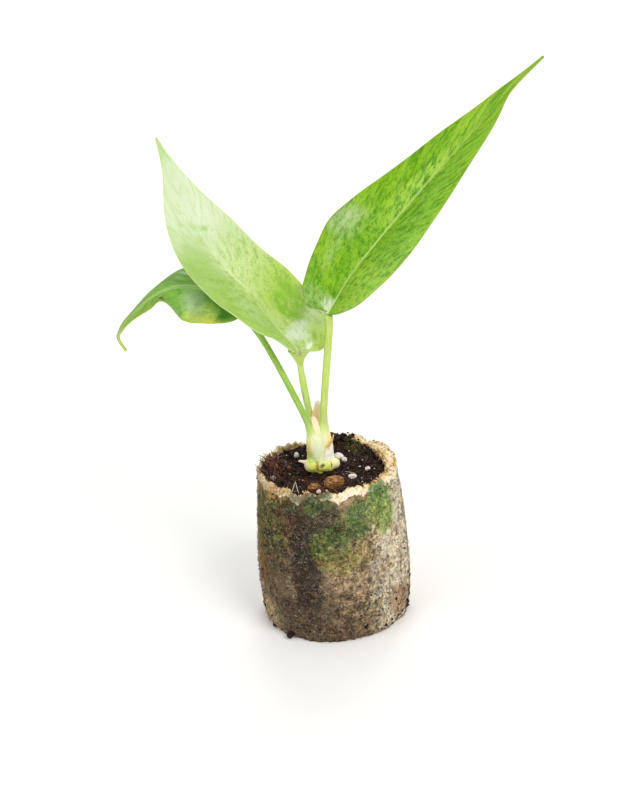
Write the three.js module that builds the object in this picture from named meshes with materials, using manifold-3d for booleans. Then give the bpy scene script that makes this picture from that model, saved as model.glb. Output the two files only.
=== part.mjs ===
// A young anthurium hookeri with three leaves, in a paper-sleeved propagation plug.
// Units are millimetres. +Z is up, +X is right seen from the front, and +Y points to the back.
// The origin is the middle of the plug's flat bottom.

import * as THREE from 'three';
import { mergeVertices } from 'three/addons/utils/BufferGeometryUtils.js';
import Module from 'manifold-3d';

const wasm = await Module();
wasm.setup();

const gap = 0.3; // clearance between pieces that touch
const pitGap = 0.4; // clearance round the loose things that lie in the mix
const sliver = 0.01; // details of a cut that are smaller than this are dropped
const tiny = 0.001; // step along a table when its direction is taken

// Plug. A profile row is [height, outer radius] before the creases are added.
const plug = {
  height: 43,
  profile: [[0, 19.0], [1.5, 19.5], [5, 20.0], [12, 20.3], [22, 20.1], [32, 19.5], [40, 18.8], [46, 18.5]],
  wall: 1.25,
  sides: 60,
  outerRows: [0, 0.04, 0.13, 0.26, 0.4, 0.54, 0.68, 0.81, 0.92, 1],
  innerLevels: [30, 15, 4], // heights of the inner wall's rows between the rim and the hem
  seamAngle: -0.3, // where the sleeve's paper overlaps itself
  seamWidth: 0.16,
  seamRise: 0.45,
  creases: [ // [depth, folds round the sleeve, twist per mm of height, phase]
    [0.16, 3, 1 / 9, 0], [0.1, 7, -1 / 6, 1], [0.08, 13, 1 / 4, 0],
  ],
  rags: [[0.3, 5, 1], [0.35, 11, 2], [0.35, 19, 0]], // the torn rim's waves: [height, number, phase]
  peak: { rise: 0.6, angle: 0.8 }, // the rim stands higher at the back right
  crest: 0.25, // the middle of the wall stands this much above the rim
  fray: 0.9, // how far the hem is eaten away
  frayLeast: 0.25, // shallower bites are left out
};

// Potting mix: level at the crown, heaped behind it, with crumbs sunk into the surface.
const mix = {
  level: 41.5,
  mound: { x: 4.5, y: 13, spread: 6, rise: 2.2 },
  leftHeap: { x: -14, y: 1, spread: 4, rise: 1.2 },
  broadLumps: 0.4,
  fineLumps: 0.3,
  sides: 44,
  rings: [1, 0.92, 0.8, 0.66, 0.52, 0.38, 0.24, 0.1],
  topLevel: 44.5, // the sleeve narrows upwards, so the surface's radius is taken up here
  crumbs: 90,
  crumbSize: [1, 2.5],
  crumbHalves: [[0.8, 0.4], [0.7, 0.3], [0.6, 0.3]], // [least, spread] of a crumb's half sizes over its size
  crumbRise: 0.15, // height of a crumb's middle above the surface, over its size
  crumbReach: 1.45, // crumbs keep this many sizes inside the surface's edge
  crownClear: 5.4, // crumbs keep this far from the crown
  seed: 11,
};

// Loose things in the mix: [name, x, y, half sizes, sink into the mix, colour].
const loose = [
  ['perlite_1', 4.2, 4.9, [1.6, 1.2, 1.0], 0.2, 0xe6e2dc],
  ['perlite_2', -7.9, 9.4, [0.8, 0.9, 0.8], 0.3, 0xdedad2],
  ['perlite_3', 6.4, -4.6, [1.3, 0.9, 0.6], 0.1, 0xc9c4ba],
  ['perlite_4', 10.8, 0.4, [0.7, 0.7, 0.6], 0.2, 0xe6e2dc],
  ['perlite_5', -2.6, -13.2, [0.6, 0.7, 0.6], 0.2, 0xe6e2dc],
  ['perlite_6', -14.6, -3.6, [0.8, 0.7, 0.6], 0.2, 0xdedad2],
  ['bark_chip_1', 1.9, -8.3, [2.7, 2.1, 1.2], 0.1, 0x6b421d],
  ['bark_chip_2', -3.6, -9.6, [1.9, 1.3, 0.9], 0.1, 0x4a2c1c],
];

// Corners of a lump lie out by this share of its half sizes.
const lumpCorners = { least: 0.82, spread: 0.36 };

// Crown: a short trunk, collars that hold the stalks, and swollen old nodes at its base.
const crown = {
  trunk: [ // [height, x, y, radius across, radius deep]
    [39, -1.6, 2.2, 2.7, 2.6], [41.5, -1.7, 2.2, 3.1, 2.9], [44, -1.8, 2.3, 3.3, 3.0],
    [47, -1.9, 2.5, 3.2, 3.0], [50, -2.0, 2.7, 3.0, 2.8], [52.6, -2.1, 2.8, 2.2, 2.1],
  ],
  nodes: [ // [centre, half sizes]
    [[-3.6, 0.2, 43.4], [2.3, 1.8, 1.6]],
    [[-0.6, -0.5, 43.1], [2.0, 1.4, 1.4]],
    [[1.9, 1.3, 43.9], [2.0, 1.7, 1.5]],
    [[-1.0, 4.6, 43.6], [2.6, 1.6, 1.5]],
  ],
  rootNub: [[0, -4.6, 1.6, 43.4, 0.75], [0.6, -6.4, 1.8, 43.9, 0.5], [1, -7.7, 2.0, 44.2, 0.28]],
  collars: { // rows are [t, x, y, z, radius]
    right: [[0, -0.7, 2.1, 45.5, 2.0], [0.6, -0.2, 2.0, 50, 1.95], [1, -0.05, 1.95, 53, 1.45]],
    middle: [[0, -2.3, 4.0, 45.5, 2.0], [0.6, -2.6, 4.8, 50, 1.85], [1, -2.85, 5.0, 52.6, 1.4]],
    left: [[0, -2.7, 1.8, 45.5, 2.0], [0.6, -3.3, 1.2, 50, 1.75], [1, -3.65, 1.05, 52.4, 1.3]],
  },
  sides: 14,
};

// Leaf stalks. Rows are [t, x, y, z, radius, width over depth of the section].
const stalks = {
  right: [
    [0, -0.1, 2.0, 49.5, 1.0, 1], [0.25, 0.2, 1.5, 58.7, 0.96, 1], [0.53, 1.4, 1.0, 69.2, 0.96, 1],
    [0.76, 2.5, 0.5, 77.9, 0.98, 1], [0.92, 3.15, 0, 84.0, 1.02, 1], [1, 3.1, -0.35, 86.35, 1.1, 1],
  ],
  middle: [
    [0, -2.6, 4.9, 49.5, 0.95, 1], [0.08, -2.8, 5.0, 51.5, 0.94, 1], [0.33, -3.9, 5.0, 58.3, 0.92, 1],
    [0.61, -4.8, 5.0, 66.0, 0.92, 1], [0.81, -5.2, 4.5, 71.4, 0.95, 1], [0.89, -5.3, 3.6, 73.4, 1.1, 1.5],
    [1, -5.5, 2.2, 76.8, 1.5, 2.3],
  ],
  left: [
    [0, -3.3, 1.25, 49.3, 0.88, 1], [0.105, -3.8, 1.0, 53.4, 0.85, 1], [0.247, -5.5, 1.2, 58.8, 0.82, 1],
    [0.38, -7.6, 3.0, 63.3, 0.82, 1], [0.635, -11.8, 7.0, 71.7, 0.82, 1],
    [0.845, -15.7, 10.0, 78.5, 0.84, 1], [0.94, -17.8, 11.6, 81.1, 0.88, 1], [1, -19.3, 11.9, 82.65, 0.95, 1],
  ],
};
const stalkSides = 10;
const stalkSteps = 18;

// Leaf blades. t runs along the midrib from the stalk to the tip.
// rib is [t, x, y, z], and face is [t, x, y, z] of the way that the upper side looks.
// For each half of a blade: half is [t, width], lift is [t, degrees that it folds up from the
// blade's plane], sweep is [t, shift of the margin towards the tip], bow is how far it bulges up.
const leaves = {
  right: {
    rib: [
      [0, 3.2, -0.4, 86.9], [0.05, 5.6, 0.6, 90.2], [0.15, 10.4, 2.4, 96.6], [0.27, 16.6, 5.0, 102.9],
      [0.42, 24.6, 8.2, 110.6], [0.62, 36.6, 13.0, 121.6], [0.8, 47.9, 17.0, 131.4],
      [0.92, 56.5, 20.0, 138.6], [1, 63.0, 23.0, 144.4],
    ],
    face: [[0, -0.35, -0.85, 0.45], [0.5, -0.3, -0.85, 0.45], [1, -0.2, -0.9, 0.4]],
    left: {
      half: [
        [0, 1.0], [0.006, 3.2], [0.02, 5.8], [0.05, 8.6], [0.1, 10.5], [0.18, 12.5], [0.26, 14.0],
        [0.34, 12.8], [0.45, 10.5], [0.6, 7.7], [0.75, 4.8], [0.86, 3.1], [0.93, 1.9], [1, 0.3],
      ],
      lift: [[0, 8], [0.3, 4], [1, 4]],
      sweep: [[0, 0], [0.01, -2], [0.05, -3], [0.15, -2.5], [0.5, 0], [1, 0]],
      bow: 0.05,
      phase: 0.1,
    },
    right: {
      half: [
        [0, 1.0], [0.006, 2.2], [0.02, 3.8], [0.05, 6.6], [0.1, 10.8], [0.18, 14.8], [0.3, 15.6],
        [0.45, 11.7], [0.6, 8.1], [0.75, 4.0], [0.86, 1.6], [0.93, 0.8], [1, 0.3],
      ],
      lift: [[0, 40], [0.15, 42], [0.3, 40], [0.7, 30], [0.86, 55], [1, 40]],
      sweep: [[0, 0], [0.02, -0.8], [0.05, -1.4], [0.15, -1.5], [0.5, 0], [1, 0]],
      bow: 0.05,
      phase: 0.4,
    },
    wave: 0.5,
    colour: 0x7db42c,
  },
  middle: {
    rib: [
      [0, -5.4, 1.2, 75.9], [0.06, -7.0, 4.0, 77.0], [0.15, -10.8, 7.0, 80.8], [0.28, -16.0, 8.5, 89.1],
      [0.4, -20.9, 10.0, 94.9], [0.58, -27.4, 12.0, 103.9], [0.75, -32.2, 14.2, 114.0],
      [0.9, -36.1, 16.0, 125.0], [1, -38.1, 17.0, 131.8],
    ],
    face: [[0, 0.25, -0.85, 0.55], [0.3, 0.1, -0.9, 0.42], [1, 0, -0.92, 0.35]],
    left: {
      half: [
        [0, 1.0], [0.006, 1.6], [0.02, 2.2], [0.05, 3.4], [0.1, 5.6], [0.2, 9.4], [0.32, 10.0],
        [0.45, 9.3], [0.6, 8.4], [0.75, 5.8], [0.87, 1.9], [0.94, 0.8], [1, 0.3],
      ],
      lift: [[0, 40], [0.12, 60], [0.3, 40], [0.6, 10], [1, 0]],
      sweep: [[0, 0], [0.01, -1.5], [0.05, -2.5], [0.2, -1], [0.5, 0], [1, 0]],
      bow: 0.03,
      phase: 0.1,
    },
    right: {
      half: [
        [0, 1.0], [0.006, 4.0], [0.02, 7.4], [0.05, 10.0], [0.1, 11.6], [0.18, 12.8], [0.3, 12.3],
        [0.45, 10.5], [0.6, 9.2], [0.75, 5.8], [0.87, 2.7], [0.94, 1.2], [1, 0.3],
      ],
      lift: [[0, 30], [0.2, 25], [0.5, 15], [1, 0]],
      sweep: [[0, 0], [0.01, -1.6], [0.05, -3.5], [0.15, -3.5], [0.3, -2.5], [0.5, 0], [1, 0]],
      bow: -0.04,
      phase: 0.4,
    },
    wave: 0.4,
    colour: 0xc6dd9c,
  },
  left: {
    rib: [
      [0, -19.6, 12.0, 83.0], [0.14, -23.5, 12.6, 88.0], [0.28, -30.0, 12.8, 91.0],
      [0.42, -36.5, 12.4, 92.0], [0.55, -42.0, 11.6, 90.6], [0.7, -47.4, 10.4, 86.8],
      [0.84, -51.4, 9.0, 83.0], [0.93, -52.4, 8.0, 80.4], [1, -50.6, 7.0, 77.3],
    ],
    face: [
      [0, 0.3, -0.3, 0.9], [0.3, 0, -0.35, 0.93], [0.6, -0.4, -0.3, 0.85], [0.8, -0.75, -0.3, 0.6],
      [1, -0.9, -0.4, -0.1],
    ],
    left: {
      half: [
        [0, 0.9], [0.01, 1.6], [0.04, 3.2], [0.1, 6.0], [0.22, 8.0], [0.38, 9.2], [0.46, 7.4],
        [0.52, 3.4], [0.62, 2.6], [0.74, 1.3], [0.83, 0.8], [0.9, 0.5], [1, 0.3],
      ],
      lift: [[0, -40], [0.2, -50], [0.42, -50], [0.53, -95], [0.62, -85], [0.8, -70], [1, 0]],
      sweep: [[0, 0], [0.04, -0.4], [0.12, -1], [0.3, -0.8], [0.5, 0], [1, 0]],
      bow: 0.05,
      phase: 0.1,
    },
    right: {
      half: [
        [0, 0.9], [0.01, 1.8], [0.04, 4.0], [0.1, 7.0], [0.22, 9.4], [0.38, 8.3], [0.5, 5.2],
        [0.62, 3.0], [0.74, 1.9], [0.83, 1.4], [0.9, 0.6], [1, 0.3],
      ],
      lift: [[0, 10], [0.3, 0], [0.6, -14], [0.75, -10], [1, 0]],
      sweep: [[0, 0], [0.04, -0.4], [0.12, -1], [0.3, -0.8], [0.5, 0], [1, 0]],
      bow: 0.05,
      phase: 0.4,
    },
    wave: 0.3,
    colour: 0x6fa52f,
  },
};
const blade = {
  rows: 26,
  columns: 6, // on each side of the midrib
  crowding: 1.5, // rows crowd towards the stalk, and columns towards the midrib
  thin: 0.32, // half the thickness away from the midrib
  ribAbove: 0.25,
  ribBelow: [[0, 0.75], [0.1, 0.55], [0.6, 0.3], [1, 0.1]],
  ribWidth: 0.9,
  waves: 3,
  waveWidth: 6, // halves narrower than this ripple less
  stepAlong: 0.002, // steps along and across when the sheet's normal is taken
  stepAcross: 0.04,
};

// Bracts: thin tongues. Rows are [t, x, y, z, half width], and front is the way that one faces.
const bracts = {
  front: {
    rows: [
      [0, -2.4, 1.2, 51.5, 1.5], [0.4, -2.5, 1.7, 54, 1.45], [0.8, -2.6, 2.3, 56.7, 0.9],
      [1, -2.7, 2.5, 58, 0.3],
    ],
    face: [-0.15, -1, 0.2],
    cup: 0.5,
    colour: 0xc9b184,
  },
  back: {
    rows: [
      [0, -0.9, 4.6, 50.8, 1.6], [0.45, -1.1, 4.7, 55.4, 1.5], [0.85, -1.4, 4.3, 59, 0.9],
      [1, -1.5, 4.1, 60.6, 0.3],
    ],
    face: [0.2, -1, 0.1],
    cup: -0.5,
    colour: 0xdcb67c,
  },
};
const bractThickness = 0.6;
const bractSteps = 6;
const bractColumns = 3; // on each side of the middle

// Sheath that wraps the right side of the crown. Rows are [height, centre x, centre y, radius].
const sheath = {
  rows: [[44.6, -1.5, 2.2, 3.7], [47.5, -1.6, 2.3, 3.8], [50, -1.7, 2.3, 3.9], [51.6, -1.6, 2.2, 4.3]],
  thickness: 0.8,
  from: -1.15, // angles from +X, the lower one in front
  to: 0.8,
  steps: 8,
  levels: 4,
  tornFine: 0.5, // the torn edge's short and long waves
  tornBroad: 0.9,
  colour: 0xeeeccd,
};

// Seeded random numbers from 0 to 1.
function randomSource(seed) {
  let state = seed;
  return () => {
    state = (state + 0x6d2b79f5) | 0;
    let mixed = Math.imul(state ^ (state >>> 15), 1 | state);
    mixed = (mixed + Math.imul(mixed ^ (mixed >>> 7), 61 | mixed)) ^ mixed;
    return ((mixed ^ (mixed >>> 14)) >>> 0) / 4294967296;
  };
}

// Values of a table at t: rows start with their own t, and a smooth curve runs through them.
function through(rows, t) {
  const last = rows.length - 1;
  const at = Math.min(Math.max(t, rows[0][0]), rows[last][0]);
  let i = 0;
  while (i < last - 1 && at >= rows[i + 1][0]) i += 1;
  const span = (k) => rows[k + 1][0] - rows[k][0];
  const slope = (k, c) => (rows[k + 1][c] - rows[k][c]) / span(k);
  const tangent = (k, c) => {
    if (k === 0) return slope(0, c);
    if (k === last) return slope(last - 1, c);
    return (span(k) * slope(k - 1, c) + span(k - 1) * slope(k, c)) / (span(k) + span(k - 1));
  };
  const h = span(i);
  const s = (at - rows[i][0]) / h;
  return rows[i].slice(1).map((value, k) => {
    const c = k + 1;
    return (1 + 2 * s) * (1 - s) ** 2 * value + s * (1 - s) ** 2 * h * tangent(i, c)
      + s * s * (3 - 2 * s) * rows[i + 1][c] + s * s * (s - 1) * h * tangent(i + 1, c);
  });
}

const vector = (values) => new THREE.Vector3(values[0], values[1], values[2]);

function geometryOf(points, faces) {
  const geometry = new THREE.BufferGeometry();
  const places = points.flatMap((p) => [p.x, p.y, p.z]);
  geometry.setAttribute('position', new THREE.Float32BufferAttribute(places, 3));
  geometry.setIndex(faces);
  return geometry;
}

function toSolid(geometry) {
  const bare = geometry.clone();
  bare.deleteAttribute('normal');
  bare.deleteAttribute('uv');
  const merged = mergeVertices(bare, 1e-5);
  return new wasm.Manifold(new wasm.Mesh({
    numProp: 3,
    vertProperties: Float32Array.from(merged.attributes.position.array),
    triVerts: Uint32Array.from(merged.index.array),
  }));
}

// The largest of the separate bodies in a solid.
function largest(solid) {
  const bodies = solid.decompose();
  return bodies.reduce((best, body) => (body.volume() > best.volume() ? body : best));
}

// A solid's geometry, with the slivers and scraps of its cuts left out.
function toGeometry(solid) {
  const mesh = largest(solid.simplify(sliver)).getMesh();
  const geometry = new THREE.BufferGeometry();
  geometry.setAttribute('position', new THREE.BufferAttribute(mesh.vertProperties, 3));
  geometry.setIndex(new THREE.BufferAttribute(mesh.triVerts, 1));
  return geometry;
}

// A closed skin over rings of points that run anticlockwise round the way of travel.
function skin(rings) {
  const sides = rings[0].length;
  const points = rings.flat();
  const faces = [];
  for (let i = 0; i < rings.length - 1; i += 1) {
    for (let k = 0; k < sides; k += 1) {
      const a = i * sides + k;
      const b = i * sides + ((k + 1) % sides);
      faces.push(a, b, b + sides, a, b + sides, a + sides);
    }
  }
  const middle = (ring) => ring.reduce((sum, p) => sum.add(p), new THREE.Vector3()).divideScalar(sides);
  const start = points.push(middle(rings[0])) - 1;
  const end = points.push(middle(rings[rings.length - 1])) - 1;
  const top = (rings.length - 1) * sides;
  for (let k = 0; k < sides; k += 1) {
    const next = (k + 1) % sides;
    faces.push(start, next, k, end, top + k, top + next);
  }
  return geometryOf(points, faces);
}

// The way in which a table of [t, x, y, z, ...] runs at t.
function wayAlong(rows, t) {
  return vector(through(rows, t + tiny)).sub(vector(through(rows, t - tiny))).normalize();
}

// A stalk along a table of [t, x, y, z, radius, width over depth], made fatter by clear.
function stalkGeometry(rows, clear = 0, steps = stalkSteps, sides = stalkSides) {
  const rings = [];
  const across = new THREE.Vector3(1, 0, 0);
  for (let i = 0; i <= steps; i += 1) {
    const t = i / steps;
    const [x, y, z, radius, flat = 1] = through(rows, t);
    const way = wayAlong(rows, t);
    const side = across.clone().addScaledVector(way, -across.dot(way)).normalize();
    const deep = new THREE.Vector3().crossVectors(way, side);
    const centre = new THREE.Vector3(x, y, z);
    if (i === 0) centre.addScaledVector(way, -clear);
    if (i === steps) centre.addScaledVector(way, clear);
    rings.push(Array.from({ length: sides }, (_, k) => {
      const angle = (2 * Math.PI * k) / sides;
      return centre.clone().addScaledVector(side, Math.cos(angle) * (radius * flat + clear))
        .addScaledVector(deep, Math.sin(angle) * (radius + clear));
    }));
  }
  return skin(rings);
}

// A point of a blade's middle sheet: t along the midrib, v from -1 to 1 across it.
function bladePoint(leaf, t, v, clear = 0) {
  const rib = vector(through(leaf.rib, t));
  const way = wayAlong(leaf.rib, t);
  const face = vector(through(leaf.face, t));
  const up = face.addScaledVector(way, -face.dot(way)).normalize();
  const right = new THREE.Vector3().crossVectors(way, up);
  const part = v < 0 ? leaf.left : leaf.right;
  const q = Math.abs(v);
  const width = through(part.half, t)[0] + clear;
  const lift = THREE.MathUtils.degToRad(through(part.lift, t)[0]);
  const ripple = leaf.wave * Math.min(1, width / blade.waveWidth) * q * q
    * Math.sin(2 * Math.PI * (blade.waves * t + part.phase));
  const rise = width * q * Math.sin(lift) + part.bow * width * 4 * q * (1 - q) + ripple;
  return rib.addScaledVector(way, through(part.sweep, t)[0] * q * q)
    .addScaledVector(right, Math.sign(v) * width * q * Math.cos(lift))
    .addScaledVector(up, rise);
}

// A closed blade: two sheets on either side of the middle sheet, thicker along the midrib.
function bladeGeometry(leaf, clear = 0) {
  const across = [];
  for (let j = -blade.columns; j <= blade.columns; j += 1) {
    across.push(Math.sign(j) * (Math.abs(j) / blade.columns) ** blade.crowding);
  }
  const upper = [];
  const lower = [];
  for (let i = 0; i <= blade.rows; i += 1) {
    const t = (i / blade.rows) ** blade.crowding;
    const along = [Math.max(0, t - blade.stepAlong), Math.min(1, t + blade.stepAlong)];
    const shift = vector(through(leaf.rib, along[1])).sub(vector(through(leaf.rib, along[0]))).normalize();
    shift.multiplyScalar((i === 0 ? -clear : 0) + (i === blade.rows ? clear : 0));
    for (const v of across) {
      const wider = v < 0 ? leaf.left : leaf.right;
      const point = bladePoint(leaf, t, v, clear);
      const dt = bladePoint(leaf, along[1], v, clear).sub(bladePoint(leaf, along[0], v, clear));
      const dv = bladePoint(leaf, t, Math.min(1, v + blade.stepAcross), clear)
        .sub(bladePoint(leaf, t, Math.max(-1, v - blade.stepAcross), clear));
      const normal = dv.cross(dt).normalize();
      const distance = Math.abs(v) * through(wider.half, t)[0];
      const relief = Math.exp(-((distance / blade.ribWidth) ** 2));
      const above = blade.thin + clear + blade.ribAbove * relief;
      const below = blade.thin + clear + through(blade.ribBelow, t)[0] * relief;
      point.add(shift);
      upper.push(point.clone().addScaledVector(normal, above));
      lower.push(point.addScaledVector(normal, -below));
    }
  }
  return sheetGeometry(upper, lower, across.length);
}

// Joins an upper and a lower sheet of points, in rows of the same length, along their edges.
// Both sheets are split along the same diagonals. The upper one looks along columns x rows.
function sheetGeometry(upper, lower, columns) {
  const rows = upper.length / columns;
  const under = upper.length;
  const faces = [];
  const quad = (a, b, c, d) => faces.push(a, b, c, a, c, d);
  for (let i = 0; i < rows - 1; i += 1) {
    for (let j = 0; j < columns - 1; j += 1) {
      const a = i * columns + j;
      const d = a + columns;
      quad(a, a + 1, d + 1, d);
      faces.push(under + a, under + d + 1, under + a + 1, under + a, under + d, under + d + 1);
    }
    const left = i * columns;
    const right = left + columns - 1;
    quad(left, left + columns, under + left + columns, under + left);
    quad(right, under + right, under + right + columns, right + columns);
  }
  for (let j = 0; j < columns - 1; j += 1) {
    const tip = (rows - 1) * columns + j;
    quad(j, under + j, under + j + 1, j + 1);
    quad(tip, tip + 1, under + tip + 1, under + tip);
  }
  return geometryOf([...upper, ...lower], faces);
}

// A bract: a thin tongue that is cupped across its width.
function bractGeometry(bract) {
  const upper = [];
  const lower = [];
  for (let i = 0; i <= bractSteps; i += 1) {
    const t = i / bractSteps;
    const [x, y, z, width] = through(bract.rows, t);
    const way = wayAlong(bract.rows, t);
    const face = vector(bract.face);
    face.addScaledVector(way, -face.dot(way)).normalize();
    const right = new THREE.Vector3().crossVectors(way, face);
    for (let j = -bractColumns; j <= bractColumns; j += 1) {
      const v = j / bractColumns;
      const middle = new THREE.Vector3(x, y, z).addScaledVector(right, v * width)
        .addScaledVector(face, bract.cup * width * (0.5 - v * v));
      upper.push(middle.clone().addScaledVector(face, bractThickness / 2));
      lower.push(middle.addScaledVector(face, -bractThickness / 2));
    }
  }
  return sheetGeometry(upper, lower, 2 * bractColumns + 1);
}

// The sheath: a wall round part of the crown, with a torn upper edge that flares out.
function sheathGeometry() {
  const outer = [];
  const inner = [];
  const foot = sheath.rows[0][0];
  const top = sheath.rows[sheath.rows.length - 1][0] - sheath.tornBroad;
  for (let i = 0; i <= sheath.levels; i += 1) {
    for (let j = 0; j <= sheath.steps; j += 1) {
      const angle = sheath.from + (sheath.to - sheath.from) * (j / sheath.steps);
      const torn = sheath.tornFine * Math.sin(9 * angle) + sheath.tornBroad * Math.cos(2.2 * angle);
      const z = foot + (top + torn - foot) * (i / sheath.levels);
      const [x, y, radius] = through(sheath.rows, z);
      const out = new THREE.Vector3(Math.cos(angle), Math.sin(angle), 0);
      const centre = new THREE.Vector3(x, y, z);
      outer.push(centre.clone().addScaledVector(out, radius + sheath.thickness / 2));
      inner.push(centre.addScaledVector(out, radius - sheath.thickness / 2));
    }
  }
  return sheetGeometry(outer, inner, sheath.steps + 1);
}

// Outer radius of the sleeve: its profile, shallow creases and the overlap of the paper.
function sleeveRadius(angle, z) {
  let radius = through(plug.profile, z)[0];
  for (const [depth, folds, twist, phase] of plug.creases) {
    radius += depth * Math.sin(folds * angle + twist * z + phase);
  }
  const turn = Math.atan2(Math.sin(angle - plug.seamAngle), Math.cos(angle - plug.seamAngle));
  return radius + plug.seamRise * Math.exp(-((turn / plug.seamWidth) ** 2));
}

// Height of the torn rim.
function rimHeight(angle) {
  let height = plug.height + plug.peak.rise * Math.max(0, Math.cos(angle - plug.peak.angle)) ** 3;
  for (const [rise, waves, phase] of plug.rags) height += rise * Math.sin(waves * angle + phase);
  return height;
}

// Height of the lower edge, which is frayed in places.
function hemHeight(angle) {
  return Math.max(0, plug.fray * Math.sin(4 * angle + 0.6) * Math.sin(9 * angle) - plug.frayLeast);
}

function sleeveGeometry() {
  const points = [];
  const loop = plug.outerRows.length + plug.innerLevels.length + 3;
  for (let k = 0; k < plug.sides; k += 1) {
    const angle = (2 * Math.PI * k) / plug.sides;
    const hem = hemHeight(angle);
    const rim = rimHeight(angle);
    const place = (radius, z) => points.push(
      new THREE.Vector3(radius * Math.cos(angle), radius * Math.sin(angle), z),
    );
    for (const part of plug.outerRows) {
      const z = hem + (rim - hem) * part;
      place(sleeveRadius(angle, z), z);
    }
    place(through(plug.profile, rim)[0] - plug.wall / 2, rim + plug.crest);
    for (const z of [rim, ...plug.innerLevels, hem]) {
      place(through(plug.profile, z)[0] - plug.wall, z);
    }
  }
  const faces = [];
  for (let k = 0; k < plug.sides; k += 1) {
    for (let m = 0; m < loop; m += 1) {
      const next = (m + 1) % loop;
      const a = k * loop;
      const b = ((k + 1) % plug.sides) * loop;
      faces.push(a + m, b + m, b + next, a + m, b + next, a + next);
    }
  }
  return geometryOf(points, faces);
}

// Height of the mix before crumbs: gentle lumps, a mound behind the crown and a heap on the left.
function mixHeight(x, y) {
  const heap = (h) => h.rise * Math.exp(-((x - h.x) ** 2 + (y - h.y) ** 2) / (2 * h.spread ** 2));
  const lumps = mix.broadLumps * Math.sin(0.9 * x + 1) * Math.cos(0.8 * y)
    + mix.fineLumps * Math.sin(1.7 * x - y);
  return mix.level + lumps + heap(mix.mound) + heap(mix.leftHeap);
}

const mixRadius = (z) => through(plug.profile, z)[0] - plug.wall - gap;

function mixGeometry() {
  const ring = (part, height) => Array.from({ length: mix.sides }, (_, k) => {
    const angle = (2 * Math.PI * k) / mix.sides;
    const radius = mixRadius(height ?? mix.topLevel) * part;
    const x = radius * Math.cos(angle);
    const y = radius * Math.sin(angle);
    return new THREE.Vector3(x, y, height ?? mixHeight(x, y));
  });
  const walls = [0, ...plug.innerLevels.toReversed()].map((z) => ring(1, z));
  return skin([...walls, ...mix.rings.map((part) => ring(part))]);
}

// A rough lump: a twenty-sided solid with its corners moved by chance, and made fatter by clear.
function lumpGeometry(centre, halves, random, clear = 0) {
  const bare = new THREE.IcosahedronGeometry(1, 0);
  bare.deleteAttribute('normal');
  bare.deleteAttribute('uv');
  const geometry = mergeVertices(bare, 1e-4);
  const turn = new THREE.Quaternion().setFromEuler(new THREE.Euler(0, 0, random() * 6));
  const corners = geometry.attributes.position;
  const corner = new THREE.Vector3();
  for (let i = 0; i < corners.count; i += 1) {
    corner.fromBufferAttribute(corners, i).multiplyScalar(lumpCorners.least + lumpCorners.spread * random());
    corner.multiply(vector(halves.map((half) => half + clear))).applyQuaternion(turn).add(centre);
    corners.setXYZ(i, corner.x, corner.y, corner.z);
  }
  return geometry;
}

function looseSolid([, x, y, halves, sink], seed, clear) {
  const centre = new THREE.Vector3(x, y, mixHeight(x, y) + halves[2] * (1 - sink) / 2);
  return toSolid(lumpGeometry(centre, halves, randomSource(seed), clear));
}

// Trunk, nodes, collars and root nub of the crown as one solid, made fatter by clear.
function crownSolid(clear = 0) {
  const levels = crown.trunk.map(([z, x, y, wide, deep], i) => {
    const lift = (i === 0 ? -clear : 0) + (i === crown.trunk.length - 1 ? clear : 0);
    return Array.from({ length: crown.sides }, (_, k) => {
      const angle = (2 * Math.PI * k) / crown.sides;
      return new THREE.Vector3(
        x + (wide + clear) * Math.cos(angle), y + (deep + clear) * Math.sin(angle), z + lift,
      );
    });
  });
  let solid = toSolid(skin(levels));
  for (const [centre, halves] of crown.nodes) {
    const ball = new THREE.IcosahedronGeometry(1, 1);
    ball.scale(...halves.map((half) => half + clear)).translate(...centre);
    solid = solid.add(toSolid(ball));
  }
  for (const rows of Object.values(crown.collars)) {
    solid = solid.add(toSolid(stalkGeometry(rows, clear, 4, crown.sides)));
  }
  return solid.add(toSolid(stalkGeometry(crown.rootNub, clear, 3, 8)));
}

// The mix with its crumbs, less the holes for the crown and for the loose things.
function mixSolid() {
  const random = randomSource(mix.seed);
  const [, trunkX, trunkY] = crown.trunk[0];
  let solid = toSolid(mixGeometry());
  for (let k = 0; k < mix.crumbs; k += 1) {
    const size = mix.crumbSize[0] + (mix.crumbSize[1] - mix.crumbSize[0]) * random() ** 2;
    const reach = (mixRadius(mix.topLevel) - mix.crumbReach * size) * Math.sqrt(random());
    const angle = 2 * Math.PI * random();
    const x = reach * Math.cos(angle);
    const y = reach * Math.sin(angle);
    const halves = mix.crumbHalves.map(([least, spread]) => size * (least + spread * random()));
    const centre = new THREE.Vector3(x, y, mixHeight(x, y) + mix.crumbRise * size);
    const lump = lumpGeometry(centre, halves, random);
    const covers = loose.some((thing) => Math.hypot(x - thing[1], y - thing[2]) < size + thing[3][0]);
    if (!covers && Math.hypot(x - trunkX, y - trunkY) > mix.crownClear) solid = solid.add(toSolid(lump));
  }
  solid = solid.subtract(crownSolid(gap));
  for (const [i, thing] of loose.entries()) {
    solid = solid.subtract(looseSolid(thing, i + 1, pitGap));
  }
  return solid;
}

const group = new THREE.Group();

function addPiece(name, geometry, colour, roughness) {
  const material = new THREE.MeshStandardMaterial({ color: colour, roughness, metalness: 0 });
  const mesh = new THREE.Mesh(geometry, material);
  mesh.name = name;
  group.add(mesh);
}

addPiece('paper_sleeve', sleeveGeometry(), 0xa8977a, 0.95);
addPiece('soil_core', toGeometry(mixSolid()), 0x2b1c14, 0.95);
for (const [i, thing] of loose.entries()) {
  addPiece(thing[0], toGeometry(looseSolid(thing, i + 1, 0)), thing[5], 0.9);
}

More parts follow.
